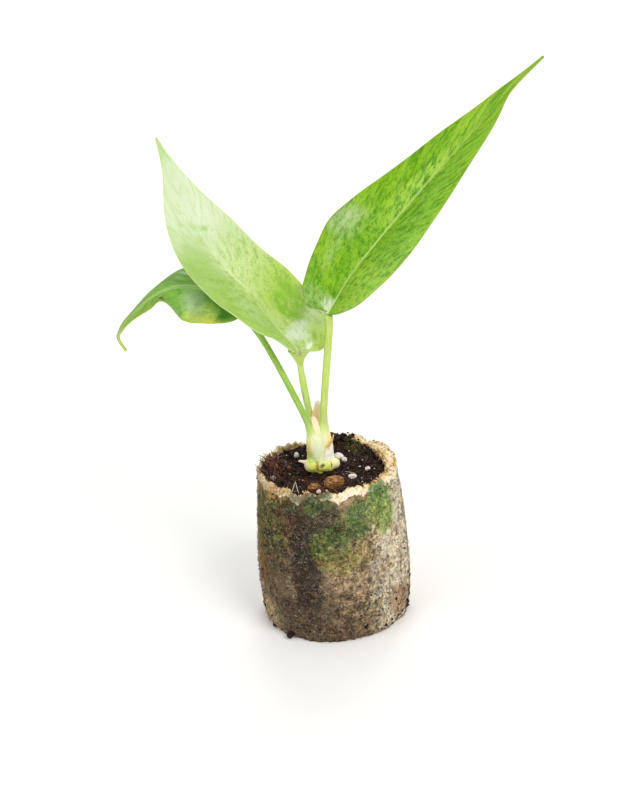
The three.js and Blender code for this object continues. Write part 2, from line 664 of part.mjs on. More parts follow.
// Each stalk stands in a hole in the crown, and ends just short of its blade.
let crownBody = crownSolid();
const stalkSolids = {};
for (const side of Object.keys(stalks)) {
  crownBody = crownBody.subtract(toSolid(stalkGeometry(stalks[side], gap)));
  stalkSolids[side] = toSolid(stalkGeometry(stalks[side]))
    .subtract(toSolid(bladeGeometry(leaves[side], gap)));
}
addPiece('crown', toGeometry(crownBody), 0xd3dd9a, 0.5);
for (const side of Object.keys(stalks)) {
  addPiece(`petiole_${side}`, toGeometry(stalkSolids[side]), 0xa9cf58, 0.45);
  addPiece(`leaf_${side}`, bladeGeometry(leaves[side]), leaves[side].colour, 0.42);
}

// The bracts and the sheath lie against the crown and the stalks without cutting into them.
const grown = Object.values(stalks).reduce(
  (sum, rows) => sum.add(toSolid(stalkGeometry(rows, gap))), crownSolid(gap),
);
for (const [side, bract] of Object.entries(bracts)) {
  addPiece(`bract_${side}`, toGeometry(toSolid(bractGeometry(bract)).subtract(grown)), bract.colour, 0.8);
}
addPiece('bract_right', toGeometry(toSolid(sheathGeometry()).subtract(grown)), sheath.colour, 0.7);

export default group;
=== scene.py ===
import math

import bmesh
import bpy
import numpy as np
from mathutils import Matrix, Vector


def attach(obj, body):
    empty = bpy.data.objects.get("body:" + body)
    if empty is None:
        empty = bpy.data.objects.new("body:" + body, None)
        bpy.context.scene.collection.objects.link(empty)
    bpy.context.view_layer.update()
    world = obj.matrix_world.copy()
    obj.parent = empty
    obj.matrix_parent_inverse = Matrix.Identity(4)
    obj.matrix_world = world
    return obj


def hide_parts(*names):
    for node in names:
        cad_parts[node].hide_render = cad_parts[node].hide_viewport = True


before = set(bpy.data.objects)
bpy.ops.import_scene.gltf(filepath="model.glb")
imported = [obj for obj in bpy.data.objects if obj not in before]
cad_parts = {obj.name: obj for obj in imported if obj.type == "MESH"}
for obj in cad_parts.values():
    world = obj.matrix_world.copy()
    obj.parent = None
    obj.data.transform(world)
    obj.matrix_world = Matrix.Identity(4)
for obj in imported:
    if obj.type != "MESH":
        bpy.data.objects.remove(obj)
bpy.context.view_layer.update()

# A young anthurium hookeri in a paper-sleeved propagation plug.
# Shapes are worked out in millimetres, in the frame's axes, and become metres in addPiece.
mm = 0.001
random = np.random.default_rng(7)
print("frame:", len(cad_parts), "nodes")


# Numbers and noise

def ease(low, high, x):
    # 0 below low, 1 above high, and a smooth step between them
    s = np.clip((x - low) / (high - low), 0, 1)
    return s * s * (3 - 2 * s)


def through(rows, t):
    # Values of a table at t. Rows start with their own t, and a smooth cubic runs through them:
    # each inner tangent is the mean of its two slopes, weighted by the other one's span.
    table = np.asarray(rows, float)
    at, values = table[:, 0], table[:, 1:]
    span = np.diff(at)
    slope = np.diff(values, axis=0) / span[:, None]
    tangent = np.empty_like(values)
    tangent[0], tangent[-1] = slope[0], slope[-1]
    before, after = span[:-1, None], span[1:, None]
    tangent[1:-1] = (after * slope[:-1] + before * slope[1:]) / (before + after)
    t = np.clip(t, at[0], at[-1])
    k = np.clip(np.searchsorted(at, t, side="right") - 1, 0, len(span) - 1)
    s = ((t - at[k]) / span[k])[..., None]
    h = span[k][..., None]
    return ((1 + 2 * s) * (1 - s) ** 2 * values[k] + s * (1 - s) ** 2 * h * tangent[k]
            + s * s * (3 - 2 * s) * values[k + 1] + s * s * (s - 1) * h * tangent[k + 1])


def unit(vectors):
    return vectors / np.maximum(np.linalg.norm(vectors, axis=-1, keepdims=True), 1e-9)


def dot(a, b):
    return (a * b).sum(axis=-1, keepdims=True)


def cellValue(cell, seed):
    # a repeatable number from 0 to 1 for each whole-numbered cell
    mixed = cell[..., 0] * 73856093 ^ cell[..., 1] * 19349663 ^ cell[..., 2] * 83492791 ^ seed * 2654435
    mixed = ((mixed ^ (mixed >> 13)) & 0x7FFFFFFF) * 1274126177 & 0x7FFFFFFF
    return ((mixed ^ (mixed >> 16)) & 0xFFFF) / 0xFFFF


def cloud(points, size, seed=0):
    # soft noise from -1 to 1: the values of the eight corners round a point, blended smoothly
    place = points / size
    cell = np.floor(place).astype(np.int64)
    part = place - cell
    part = part * part * (3 - 2 * part)
    total = 0
    for corner in np.ndindex(2, 2, 2):
        weight = np.prod(np.where(np.array(corner, bool), part, 1 - part), axis=-1)
        total = total + weight * cellValue(cell + np.array(corner), seed)
    return 2 * total - 1


def clouds(points, size, seed=0, layers=3):
    # layers of soft noise, each half as large and half as strong as the one before
    return sum(cloud(points, size / 2 ** k, seed + k) / 2 ** k for k in range(layers)) / 1.6


# Meshes

def gridQuads(rows, columns, closed=False, looped=False):
    # quads of a grid of points, row by row: closed joins the ends of each row, looped joins
    # the last row to the first
    i = np.arange(rows if looped else rows - 1)[:, None]
    j = np.arange(columns if closed else columns - 1)[None, :]
    a = i * columns + j
    b = i * columns + (j + 1) % columns
    up = ((i + 1) % rows - i) * columns
    return np.stack([a, b, b + up, a + up], -1).reshape(-1, 4)


def shapeOf(points, quads=(), triangles=()):
    # a shape holds points, faces, and any values that its points carry, under their own names
    return {"points": points.reshape(-1, 3), "quads": np.reshape(quads, (-1, 4)).astype(int),
            "triangles": np.reshape(triangles, (-1, 3)).astype(int)}


def around(radius, angle, z):
    # points at a distance and an angle from the plug's axis
    return np.stack(np.broadcast_arrays(radius * np.cos(angle), radius * np.sin(angle), z), -1)


def near(angle, centre, width):
    # exp(-(turn / width)^2), with the turn from the centre to the angle by the shorter way round
    turn = np.arctan2(np.sin(angle - centre), np.cos(angle - centre))
    return np.exp(-(turn / width) ** 2)


def capped(rings):
    # Closed skins over rings of points that run anticlockwise round the way of travel.
    # rings has the axes skin, ring, point of the ring, and coordinate.
    count, steps, sides = rings.shape[:3]
    ends = rings[:, [0, -1]].mean(axis=2)
    points = np.concatenate([rings.reshape(count, steps * sides, 3), ends], axis=1)
    size = steps * sides + 2
    k = np.arange(sides)
    after = (k + 1) % sides
    top = (steps - 1) * sides
    foot = np.stack([np.full(sides, size - 2), after, k], -1)
    head = np.stack([np.full(sides, size - 1), top + k, top + after], -1)
    start = np.arange(count)[:, None, None] * size
    return shapeOf(points, gridQuads(steps, sides, closed=True) + start, np.concatenate([foot, head]) + start)


def tubes(paths, radii, sides, across, flat=1):
    # Rings round many paths at once. paths has the axes tube, step and coordinate. A ring is
    # centre + radius (flat cos a side + sin a deep), with side = across less its part along the
    # way, and deep = way x side.
    way = unit(np.gradient(paths, axis=1))
    across = np.asarray(across, float) + np.zeros_like(way)
    side = unit(across - dot(across, way) * way)
    deep = np.cross(way, side)
    angle = 2 * np.pi * np.arange(sides) / sides
    ring = (np.cos(angle)[:, None] * side[:, :, None] * np.asarray(flat)[..., None, None]
            + np.sin(angle)[:, None] * deep[:, :, None])
    return paths[:, :, None] + np.asarray(radii)[..., None, None] * ring


def ball(detail):
    # points and triangles of a round ball of radius 1
    shape = bmesh.new()
    bmesh.ops.create_icosphere(shape, subdivisions=detail, radius=1)
    points = np.array([v.co for v in shape.verts])
    triangles = np.array([[v.index for v in f.verts] for f in shape.faces])
    shape.free()
    return points, triangles


def turns(count):
    # a random rotation matrix for each of so many pieces, from random quaternions
    w, x, y, z = unit(random.normal(size=(count, 4))).T
    rows = [1 - 2 * (y * y + z * z), 2 * (x * y - z * w), 2 * (x * z + y * w),
            2 * (x * y + z * w), 1 - 2 * (x * x + z * z), 2 * (y * z - x * w),
            2 * (x * z - y * w), 2 * (y * z + x * w), 1 - 2 * (x * x + y * y)]
    return np.stack(rows, -1).reshape(-1, 3, 3)


def lumps(centres, halves, detail=1, rough=0.3):
    # rough balls: each corner is moved in or out by chance, and each ball is turned by chance
    corners, triangles = ball(detail)
    count = len(centres)
    points = corners * (1 + rough * random.uniform(-1, 1, (count, len(corners), 1)))
    points = points * np.broadcast_to(halves, (count, 3))[:, None]
    points = np.einsum("nij,nvj->nvi", turns(count), points) + centres[:, None]
    start = np.arange(count)[:, None, None] * len(corners)
    shape = shapeOf(points, (), triangles + start)
    shape["tint"] = np.repeat(random.random(count), len(corners))
    return shape


def joined(*shapes):
    # several shapes as one, with the attributes that all of them have
    whole = {}
    for key in set.intersection(*[set(shape) for shape in shapes]):
        starts = np.cumsum([0] + [len(shape["points"]) for shape in shapes[:-1]])
        offsets = starts if key in ("quads", "triangles") else 0 * starts
        whole[key] = np.concatenate([shape[key] + k for shape, k in zip(shapes, offsets)])
    return whole


def sheet(upper, lower):
    # A closed sheet between two grids of points, joined along their four edges.
    rows, columns = upper.shape[:2]
    grid = np.arange(rows * columns).reshape(rows, columns)
    under = grid + rows * columns
    face = gridQuads(rows, columns)

    def edge(line, below):
        return np.stack([line[:-1], line[1:], below[1:], below[:-1]], -1)

    quads = [face, face[:, ::-1] + rows * columns,
             edge(grid[:, 0], under[:, 0]), edge(grid[:, -1], under[:, -1])[:, ::-1],
             edge(grid[0], under[0])[:, ::-1], edge(grid[-1], under[-1])]
    return shapeOf(np.concatenate([upper.reshape(-1, 3), lower.reshape(-1, 3)]), np.concatenate(quads))


def meshOf(name, shape, smooth=True):
    mesh = bpy.data.meshes.new(name)
    quads, triangles = shape["quads"], shape["triangles"]
    corners = np.concatenate([quads.ravel(), triangles.ravel()]).astype(np.int32)
    starts = np.concatenate([4 * np.arange(len(quads)), 4 * len(quads) + 3 * np.arange(len(triangles))])
    mesh.vertices.add(len(shape["points"]))
    mesh.vertices.foreach_set("co", (shape["points"] * mm).astype(np.float32).ravel())
    mesh.loops.add(len(corners))
    mesh.loops.foreach_set("vertex_index", corners)
    mesh.polygons.add(len(starts))
    mesh.polygons.foreach_set("loop_start", starts.astype(np.int32))
    mesh.polygons.foreach_set("use_smooth", np.full(len(starts), smooth))
    mesh.update(calc_edges=True)
    for key, values in shape.items():
        if key not in ("points", "quads", "triangles"):
            flat = values.ndim == 1
            attribute = mesh.attributes.new(key, "FLOAT" if flat else "FLOAT_VECTOR", "POINT")
            attribute.data.foreach_set("value" if flat else "vector", values.astype(np.float32).ravel())
    return mesh


def intoScene(name, data, material=None):
    # puts a mesh, a light or the camera into the scene
    thing = bpy.data.objects.new(name, data)
    bpy.context.scene.collection.objects.link(thing)
    if material:
        data.materials.append(material)
    return thing


def addPiece(name, shape, material, nodes=(), smooth=True):
    piece = intoScene(name, meshOf(name, shape, smooth), material)
    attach(piece, "root")
    if nodes:
        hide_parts(*nodes)
    return piece


# Materials

def shade(code):
    # a six-digit colour as linear red, green, blue and alpha
    parts = [int(code[k:k + 2], 16) / 255 for k in (0, 2, 4)]
    return tuple(p / 12.92 if p <= 0.04045 else ((p + 0.055) / 1.055) ** 2.4 for p in parts) + (1,)


def mathMethod(operation, swapped=False):
    # a method that adds a Math node for two values, the second one first where they are swapped
    def method(self, other=0.0):
        first, second = (other, self) if swapped else (self, other)
        return self.paint.node("ShaderNodeMath", {"operation": operation}, {0: first, 1: second})
    return method


class Wire:
    # One output socket of a material. Arithmetic on it adds Math nodes to the same material.
    def __init__(self, paint, socket):
        self.paint, self.socket = paint, socket

    __add__, __radd__ = mathMethod("ADD"), mathMethod("ADD", True)
    __sub__, __rsub__ = mathMethod("SUBTRACT"), mathMethod("SUBTRACT", True)
    __mul__, __rmul__ = mathMethod("MULTIPLY"), mathMethod("MULTIPLY", True)
    __abs__ = mathMethod("ABSOLUTE")

    def band(self, low, high):
        # 0 at low, 1 at high and a smooth step between them
        return self.paint.node("ShaderNodeMapRange", {"interpolation_type": "SMOOTHSTEP"},
                               {0: self, 1: low, 2: high})


class Paint:
    # A material under construction: place is the point on the piece in millimetres, and colour is
    # what has been painted so far. Colours may be given as six-digit codes.
    def __init__(self, name):
        self.material = bpy.data.materials.new(name)
        self.material.use_nodes = True
        self.tree = self.material.node_tree
        self.tree.nodes.clear()
        self.place = self.stretch(self.node("ShaderNodeTexCoord", output="Object"), (1 / mm,) * 3)
        self.colour = None

    def node(self, kind, settings=None, sockets=None, output=0):
        node = self.tree.nodes.new(kind)
        for key, value in (settings or {}).items():
            if key == "stops":
                ramp = node.color_ramp
                ramp.elements.remove(ramp.elements[1])
                for at, colour in value:
                    ramp.elements.new(at).color = colour
                ramp.elements.remove(ramp.elements[0])
            else:
                setattr(node, key, value)
        for key, value in (sockets or {}).items():
            if isinstance(value, Wire):
                self.tree.links.new(value.socket, node.inputs[key])
            else:
                node.inputs[key].default_value = value
        return Wire(self, node.outputs[output]) if len(node.outputs) else None

    def vector(self, operation, first, second=(0, 0, 0), output=0):
        return self.node("ShaderNodeVectorMath", {"operation": operation}, {0: first, 1: second}, output)

    def stretch(self, place, scale):
        return self.vector("MULTIPLY", place, scale)

    def part(self, vector, axis):
        return self.node("ShaderNodeSeparateXYZ", {}, {0: vector}, axis)

    def attribute(self, name, output="Vector"):
        return self.node("ShaderNodeAttribute", {"attribute_name": name}, {}, output)

    def noise(self, place, size, detail=2, rough=0.5, swirl=0.0, output=0):
        # soft noise from 0 to 1 with lumps of about that size
        return self.node("ShaderNodeTexNoise", {}, {
            "Vector": place, "Scale": 1 / size, "Detail": detail, "Roughness": rough,
            "Distortion": swirl}, output)

    def cells(self, place, size):
        return self.node("ShaderNodeTexVoronoi", {}, {"Vector": place, "Scale": 1 / size}, "Distance")

    def mix(self, factor, first, second, kind="MIX"):
        first, second = (shade(c) if isinstance(c, str) else c for c in (first, second))
        return self.node("ShaderNodeMix", {"data_type": "RGBA", "blend_type": kind},
                         {0: factor, 6: first, 7: second}, 2)

    def cover(self, factor, colour, kind="MIX"):
        # lays a colour over what has been painted so far
        self.colour = self.mix(factor, self.colour, colour, kind)

    def ramp(self, value, *stops):
        colours = [(at, shade(code)) for at, code in stops]
        return self.node("ShaderNodeValToRGB", {"stops": colours}, {0: value})

    def wobble(self, place, size, amount):
        # the place moved about by noise, so that borders run unevenly
        shift = self.vector("SUBTRACT", self.noise(place, size, output=1), (0.5,) * 3)
        return self.vector("ADD", place, self.stretch(shift, (2 * amount,) * 3))

    def spot(self, place, centre, reach, soft=0.8):
        # 1 within reach of the centre and 0 outside, with an edge of that softness
        away = self.stretch(self.vector("SUBTRACT", place, centre), tuple(1 / r for r in reach))
        return self.vector("LENGTH", away, output="Value").band(1 + soft / 2, 1 - soft / 2)

    def finish(self, rough, height=None, depth=0.1, strength=1.0, gloss=0.5, through=0, glow=None, more=None):
        # the surface, with a bump of that height and depth, and light that shines through it where
        # through is above 0
        sockets = {"Base Color": self.colour, "Roughness": rough, "Specular IOR Level": gloss}
        if height:
            sockets["Normal"] = self.node("ShaderNodeBump", {}, {
                "Strength": strength, "Distance": depth * mm, "Height": height})
        surface = self.node("ShaderNodeBsdfPrincipled", {}, {**sockets, **(more or {})})
        if through:
            light = self.node("ShaderNodeBsdfTranslucent", {}, {"Color": shade(glow)})
            surface = self.node("ShaderNodeMixShader", {}, {0: through, 1: surface, 2: light})
        self.node("ShaderNodeOutputMaterial", {}, {0: surface})
        return self.material


# Camera, light and floor

view = {
    "target": (0, 0, 43),  # this point lies at this pixel of the picture
    "pixel": (327, 466),
    "picture": (640, 800),
    "distance": 600,
    "elevation": 24,
    "roll": 4,
    "focal": 2250,  # in pixels
}
lights = {  # place in metres, size in metres, power, colour
    "key": ((0.45, -0.60, 0.75), 0.5, 5.6, (1, 0.98, 0.95)),
    "left": ((-0.75, -0.45, 0.45), 0.6, 2.6, (0.96, 0.98, 1)),
    "back": ((0.1, 0.7, 0.6), 0.5, 2.8, (1, 1, 1)),
}


def addCamera():
    # the camera stands so far from the target, along its view, that the target lies at its pixel
    lift, roll = math.radians(view["elevation"]), math.radians(view["roll"])
    ahead = Vector((0, math.cos(lift), -math.sin(lift)))
    level, steep = Vector((1, 0, 0)), Vector((0, math.sin(lift), math.cos(lift)))
    right = math.cos(roll) * level - math.sin(roll) * steep
    up = math.sin(roll) * level + math.cos(roll) * steep
    wide, high = view["picture"]
    step = view["distance"] / view["focal"]
    spot = (Vector(view["target"]) - ahead * view["distance"]
            - right * (view["pixel"][0] - wide / 2) * step + up * (view["pixel"][1] - high / 2) * step)
    data = bpy.data.cameras.new("camera")
    data.sensor_width = 36
    data.lens = view["focal"] * data.sensor_width / high
    data.clip_start = 0.01
    camera = bpy.context.scene.camera = intoScene("camera", data)
    turn = Matrix((right, up, -ahead)).transposed().to_4x4()
    camera.matrix_world = Matrix.Translation(spot * mm) @ turn


def addLights(aim=(0, 0, 0.07), glow=0.62):
    # area lights that point at the aim, and a white world of that brightness
    for name, (spot, size, power, colour) in lights.items():
        data = bpy.data.lights.new(name, "AREA")
        data.size, data.energy, data.color = size, power, colour
        light = intoScene(name, data)
        light.location = spot
        light.rotation_euler = (Vector(aim) - Vector(spot)).to_track_quat("-Z", "Y").to_euler()
    world = bpy.data.worlds.new("studio")
    world.use_nodes = True
    background = world.node_tree.nodes["Background"]
    background.inputs[0].default_value = (1, 1, 1, 1)
    background.inputs[1].default_value = glow
    bpy.context.scene.world = world
    bpy.context.scene.view_settings.view_transform = "Standard"


def addFloor():
    paint = Paint("floorCard")
    paint.colour = paint.mix(paint.noise(paint.place, 40, 2), "f4f3f0", "fbfaf8")
    corners = 3000 * np.array([[-1, -1, 0], [1, -1, 0], [1, 1, 0], [-1, 1, 0]])
    floor = intoScene("floor", meshOf("floor", shapeOf(corners, [[0, 1, 2, 3]])), paint.finish(0.9))


addCamera()
addLights()
addFloor()
print("camera, light and floor ready")


# Leaf blades

# rib and face: [t, x, y, z] of the midrib and of the way that the upper face looks. half, lift and
# sweep: [t, value] of each half's width, its angle over the face and its sweep along the midrib.
# Each zone of colour, a few of them painted sheen and painted shade: t, v, reach along t and v, colour,
# amount, speckle, calm and softness.
leaves = {
    "right": {
        "rib": [
            [0, 3.2, -0.4, 86.9], [0.05, 5.6, 0.6, 90.2], [0.15, 10.4, 2.4, 96.6], [0.27, 16.6, 5, 102.9],
            [0.42, 24.6, 8.2, 110.6], [0.62, 36.6, 13, 121.6], [0.8, 47.8, 17, 131.6],
            [0.92, 56.1, 20, 139.2], [1, 63, 23, 144.4],
        ],
        "face": [[0, -0.35, -0.85, 0.45], [0.5, -0.3, -0.85, 0.45], [1, -0.2, -0.9, 0.4]],
        "left": {
            "half": [
                [0, 1], [0.006, 3.2], [0.02, 5.8], [0.05, 8.6], [0.1, 10.5], [0.18, 12.5], [0.26, 14],
                [0.34, 12.8], [0.45, 10.5], [0.6, 7.6], [0.75, 4.7], [0.86, 2.7], [0.93, 1.2], [1, 0.3],
            ],
            "lift": [[0, 8], [0.3, 4], [1, 4]],
            "sweep": [[0, 0], [0.01, -2], [0.05, -3], [0.15, -2.5], [0.5, 0], [1, 0]],
            "bow": 0.05,
        },
        "right": {
            "half": [
                [0, 1], [0.006, 2.2], [0.02, 3.8], [0.05, 6.6], [0.1, 10.8], [0.18, 14.8], [0.3, 15.6],
                [0.45, 11.7], [0.6, 8.1], [0.75, 4.6], [0.83, 2.6], [0.9, 0.8], [0.95, 0.35], [1, 0.3],
            ],
            "lift": [[0, 40], [0.15, 42], [0.3, 40], [0.7, 30], [0.82, 34], [0.9, 60], [1, 60]],
            "sweep": [[0, 0], [0.02, -0.8], [0.05, -1.4], [0.15, -1.5], [0.5, 0], [1, 0]],
            "bow": 0.05,
        },
        "wave": 0.5,
        "veins": 9,
        "slot": "leaf_green",
        "look": {  # amount: light flecks, dark flecks, and less of both to the right of the midrib
            "green": "74ad14", "second": "8cba24", "light": "646c10", "dark": "9cb83c",
            "amount": (0.9, 0.85, 0.05),
            "calmTip": (0.8, 1, 0.3),  # from here to there along the midrib, the flecks fade by so much
            "veinTone": 0.1,
            "under": "8cc152", "rib": "cfe88c", "ribEnd": 0.95, "edge": "a9a84e", "edgeWidth": 0.3,
            "rough": 0.36, "through": 0.16, "glow": "9bd33a",
            "zones": [
                (0.35, 0.55, 0.42, 0.5, "84bb3a", 0.55, 0.5, 0, 1.5),
                (0.14, 0.97, 0.24, 0.24, "9acc54", 0.9, 0.1, 0, 1.5),
                (0.14, 0.55, 0.1, 0.5, "9ccc44", 0.8, 1, 0, 1.5),
                (0.88, 0, 0.2, 1.4, "8ab634", 0.5, 0.5, 0, 1.5),
                (0.5, -0.2, 0.16, 0.2, "b0d85c", 0.45, 1, 0, 1.5),
                # the next two zones are painted sheen: a soft grey-white gloss patch near the widest left
                # margin, and the thin streak that runs down from it
                (0.29, -0.72, 0.05, 0.26, "b2c98f", 0.75, 0.4, 0.5, 1.5),
                (0.2, -0.62, 0.07, 0.09, "9cc266", 0.55, 0.5, 0, 1.5),
                (0.035, -0.75, 0.03, 0.35, "8bb25e", 0.8, 0.5, 0, 1.5),
                (0.02, -0.2, 0.024, 0.22, "dfe8cf", 0.85, 0.5, 0.7, 1.5),
            ],
        },
    },
    "middle": {
        "rib": [
            [0, -5.4, 1.2, 75.9], [0.06, -7, 4, 77], [0.15, -10.8, 7, 80.8], [0.28, -16, 8.5, 89.1],
            [0.4, -20.9, 10, 94.9], [0.58, -27.4, 12, 103.9], [0.75, -32.2, 14.2, 114],
            [0.9, -36.1, 16, 125], [1, -38.1, 17, 131.8],
        ],
        "face": [[0, 0.25, -0.85, 0.55], [0.3, 0.1, -0.9, 0.42], [1, 0, -0.92, 0.35]],
        "left": {
            "half": [
                [0, 1], [0.006, 1.6], [0.02, 2.2], [0.05, 3.4], [0.1, 5.6], [0.2, 9.4], [0.32, 10],
                [0.45, 9.3], [0.6, 8.4], [0.75, 5.8], [0.87, 1.9], [0.94, 0.8], [1, 0.3],
            ],
            "lift": [[0, 40], [0.12, 60], [0.3, 40], [0.6, 10], [1, 0]],
            "sweep": [[0, 0], [0.01, -1.5], [0.05, -2.5], [0.2, -1], [0.5, 0], [1, 0]],
            "bow": 0.03,
        },
        "right": {
            "half": [
                [0, 1], [0.006, 4], [0.02, 7.2], [0.05, 9.4], [0.08, 11], [0.1, 12.1], [0.14, 13.1],
                [0.18, 13.4], [0.3, 12.3], [0.45, 10.5], [0.6, 9.2], [0.75, 5.8], [0.87, 2.7],
                [0.94, 1.2], [1, 0.3],
            ],
            "lift": [
                [0, -12], [0.006, -10], [0.02, -4], [0.05, 5], [0.12, 16], [0.2, 25], [0.5, 15], [1, 0],
            ],
            "sweep": [
                [0, 0], [0.006, -2.2], [0.02, -2.8], [0.05, -3], [0.15, -3.4], [0.3, -2.6], [0.5, 0], [1, 0],
            ],
            "bow": -0.04,
        },
        "wave": 0.4,
        "veins": 8,
        "slot": "leaf_pale",
        "look": {
            "green": "c6dc92", "second": "d9e6b4", "light": "5a6040", "dark": "b2cc60",
            "amount": (0.85, 0.68, -0.2), "calmTip": (0.42, 0.68, 0.75), "veinTone": 0.06,
            "under": "b9d78a", "rib": "d9edac", "ribEnd": 0.7, "edge": "d9e39a", "edgeWidth": 0.3,
            "rough": 0.42, "through": 0.2, "glow": "c6e878",
            "zones": [
                (0.76, 0.25, 0.28, 1.2, "e0e9cf", 0.85, 0.8, 0, 1.5),
                (0.56, 0.5, 0.15, 0.5, "e4ecd2", 0.85, 0.9, 0, 1.5),
                (0.97, 0, 0.05, 1.6, "b4d88c", 0.7, 0.5, 0, 1.5),
                (0.45, -0.65, 0.24, 0.6, "9ec25e", 0.92, 0.5, 0.25, 1.5),
                (0.75, -0.6, 0.12, 0.6, "dce7c6", 0.8, 0.8, 0, 1.5),
                (0.22, -0.6, 0.16, 0.6, "a8cc62", 0.9, 0.5, 0.35, 1.5),
                (0.24, -0.4, 0.1, 0.2, "c3d6a4", 0.5, 1, 0, 1.5),
                (0.32, 0.3, 0.16, 0.34, "dcea98", 0.85, 1, 0.4, 1.5),
                (0.36, 0.6, 0.2, 0.5, "b0d048", 0.7, 1.6, 0, 1.5),
                (0.42, 0.4, 0.14, 0.5, "e2ebc4", 0.32, 2.4, 0, 1.5),
                (0.24, 0.7, 0.1, 0.44, "b2d456", 0.8, 1.4, 0, 1.5),
                (0.19, 0.42, 0.065, 0.13, "86ba28", 0.9, 2.4, 0, 1.2),
                (0.22, 0.7, 0.07, 0.13, "92c236", 0.95, 1.6, 0, 1.2),
                (0.12, 0.82, 0.06, 0.18, "e2ecc6", 0.8, 0.8, 0.7, 1.5),
                (0.1, -0.4, 0.06, 0.6, "c0dc7c", 0.7, 0.5, 0, 1.5),
                (0.085, 0.3, 0.034, 0.36, "e6eedd", 0.9, 0.5, 0.8, 0.8),
                (0.06, 0.76, 0.04, 0.3, "d4e88c", 0.8, 1.4, 0.5, 1.5),
                (0.03, 0.86, 0.03, 0.26, "d2e676", 0.85, 0.5, 0.5, 1.5),
                (0.05, 0.66, 0.012, 0.08, "86b83c", 0.7, 0.5, 0, 1.5),
                (0.002, 0, 0.006, 1.2, "c2d468", 0.95, 0.5, 1, 1.5),
                (0.026, 0.46, 0.016, 0.1, "fdfefa", 1, 0.5, 1, 0.6),
                (0.638, 0.19, 0.012, 0.12, "a6cf74", 0.8, 0.5, 0, 1.5),
            ],
        },
    },
    "left": {
        "rib": [
            [0, -19.6, 12, 83], [0.14, -23.5, 12.6, 88], [0.28, -30, 12.8, 91], [0.42, -36.5, 12.4, 92],
            [0.55, -42, 11.6, 90.6], [0.7, -47.4, 10.4, 86.8], [0.84, -51.4, 9, 83],
            [0.93, -52.4, 8, 80.4], [1, -50.6, 7, 77.3],
        ],
        "face": [
            [0, 0.3, -0.3, 0.9], [0.3, 0, -0.35, 0.93], [0.6, -0.4, -0.3, 0.85], [0.8, -0.75, -0.3, 0.6],
            [1, -0.9, -0.4, -0.1],
        ],
        "left": {
            "half": [
                [0, 0.9], [0.01, 2.3], [0.04, 5], [0.07, 6.4], [0.1, 7.1], [0.13, 7.3], [0.16, 7.6],
                [0.2, 8.1], [0.25, 8.7], [0.38, 9.2], [0.46, 7.4], [0.52, 3.4], [0.62, 2.6], [0.74, 1.3],
                [0.83, 0.8], [0.9, 0.5], [1, 0.3],
            ],
            "lift": [[0, -40], [0.2, -50], [0.42, -50], [0.53, -95], [0.62, -85], [0.8, -70], [1, 0]],
            "sweep": [[0, 0], [0.04, -0.4], [0.12, -1], [0.3, -0.8], [0.5, 0], [1, 0]],
            "bow": 0.05,
        },
        "right": {
            "half": [
                [0, 0.9], [0.01, 1.8], [0.04, 4], [0.1, 7], [0.22, 9.4], [0.38, 8.3], [0.5, 5.2],
                [0.62, 3], [0.74, 1.9], [0.83, 1.4], [0.9, 0.6], [1, 0.3],
            ],
            "lift": [[0, 10], [0.3, 0], [0.6, -14], [0.75, -10], [1, 0]],
            "sweep": [[0, 0], [0.04, -0.4], [0.12, -1], [0.3, -0.8], [0.5, 0], [1, 0]],
            "bow": 0.05,
        },
        "wave": 0.14,
        "veins": 8,
        "slot": "leaf_dark",
        "look": {
            "green": "7cb040", "second": "90be56", "light": "4c5c2c", "dark": "b4cc8c",
            "amount": (0.6, 0.6, 0.2), "calmTip": (0.6, 1, 0.5), "veinTone": 0.12,
            "under": "7fae4c", "rib": "9cc46a", "ribEnd": 1.2, "edge": "c3d24e", "edgeWidth": 0.45,
            "rough": 0.34, "through": 0.14, "glow": "8ccb2e",
            "zones": [
                (0.4, 0.5, 0.2, 0.4, "7aa84c", 0.6, 0.5, 0, 1.5),
                # the next two zones are painted shade: dark green where the hanging half curves in beside the
                # middle leaf's margin
                (0.11, -0.5, 0.09, 0.45, "3a7c12", 1, 0.5, 0, 1),
                (0.26, -0.22, 0.06, 0.2, "3f7f1f", 0.8, 0.5, 0, 1.5),
                (0.25, -0.72, 0.1, 0.22, "bcd868", 0.9, 0.5, 0, 1.5),
                # painted sheen: a soft grey-green gloss patch on the hanging half
                (0.32, -0.42, 0.06, 0.35, "bcd4a4", 0.75, 0.2, 0.8, 1.5),
                (0.22, -0.96, 0.14, 0.16, "e0e450", 0.9, 0.2, 0, 1.5),
                (0.33, -0.87, 0.06, 0.18, "b6d26a", 0.75, 0.5, 0, 1.5),
                (0.74, 0, 0.16, 1.6, "90a854", 0.75, 0.5, 0, 1.5),
                (0.95, 0, 0.08, 1.6, "b4b7a0", 0.8, 0.5, 0, 1.5),
                (0.525, -0.62, 0.01, 0.12, "5a4a30", 0.9, 0.5, 0, 1.5),
            ],
        },
    },
}
blade = {
    "rows": 160,
    "columns": 32,  # on each side of the midrib
    "crowding": (1.5, 1.15),  # rows crowd towards the stalk, and columns towards the midrib
    "thin": 0.2,  # half the thickness away from the midrib
    "edge": 0.45,  # how much of that is left at the margin
    "ribAbove": 0.22,
    "ribAboveWidth": 0.42,
    "ribBelow": [[0, 0.8], [0.1, 0.6], [0.6, 0.35], [1, 0.12]],
    "ribBelowWidth": 0.85,
    "waves": 3,
    "phases": (0.1, 0.4),  # of the ripple on the left and on the right half
    "waveWidth": 6,  # halves narrower than this ripple less
    "veinSlant": 0.17,  # share of the length that a side vein gains on its way to the margin
    "veinDepth": 0.07,
    "veinWidth": 0.45,
    "quilt": 0.1,  # how far the blade swells between its side veins
}


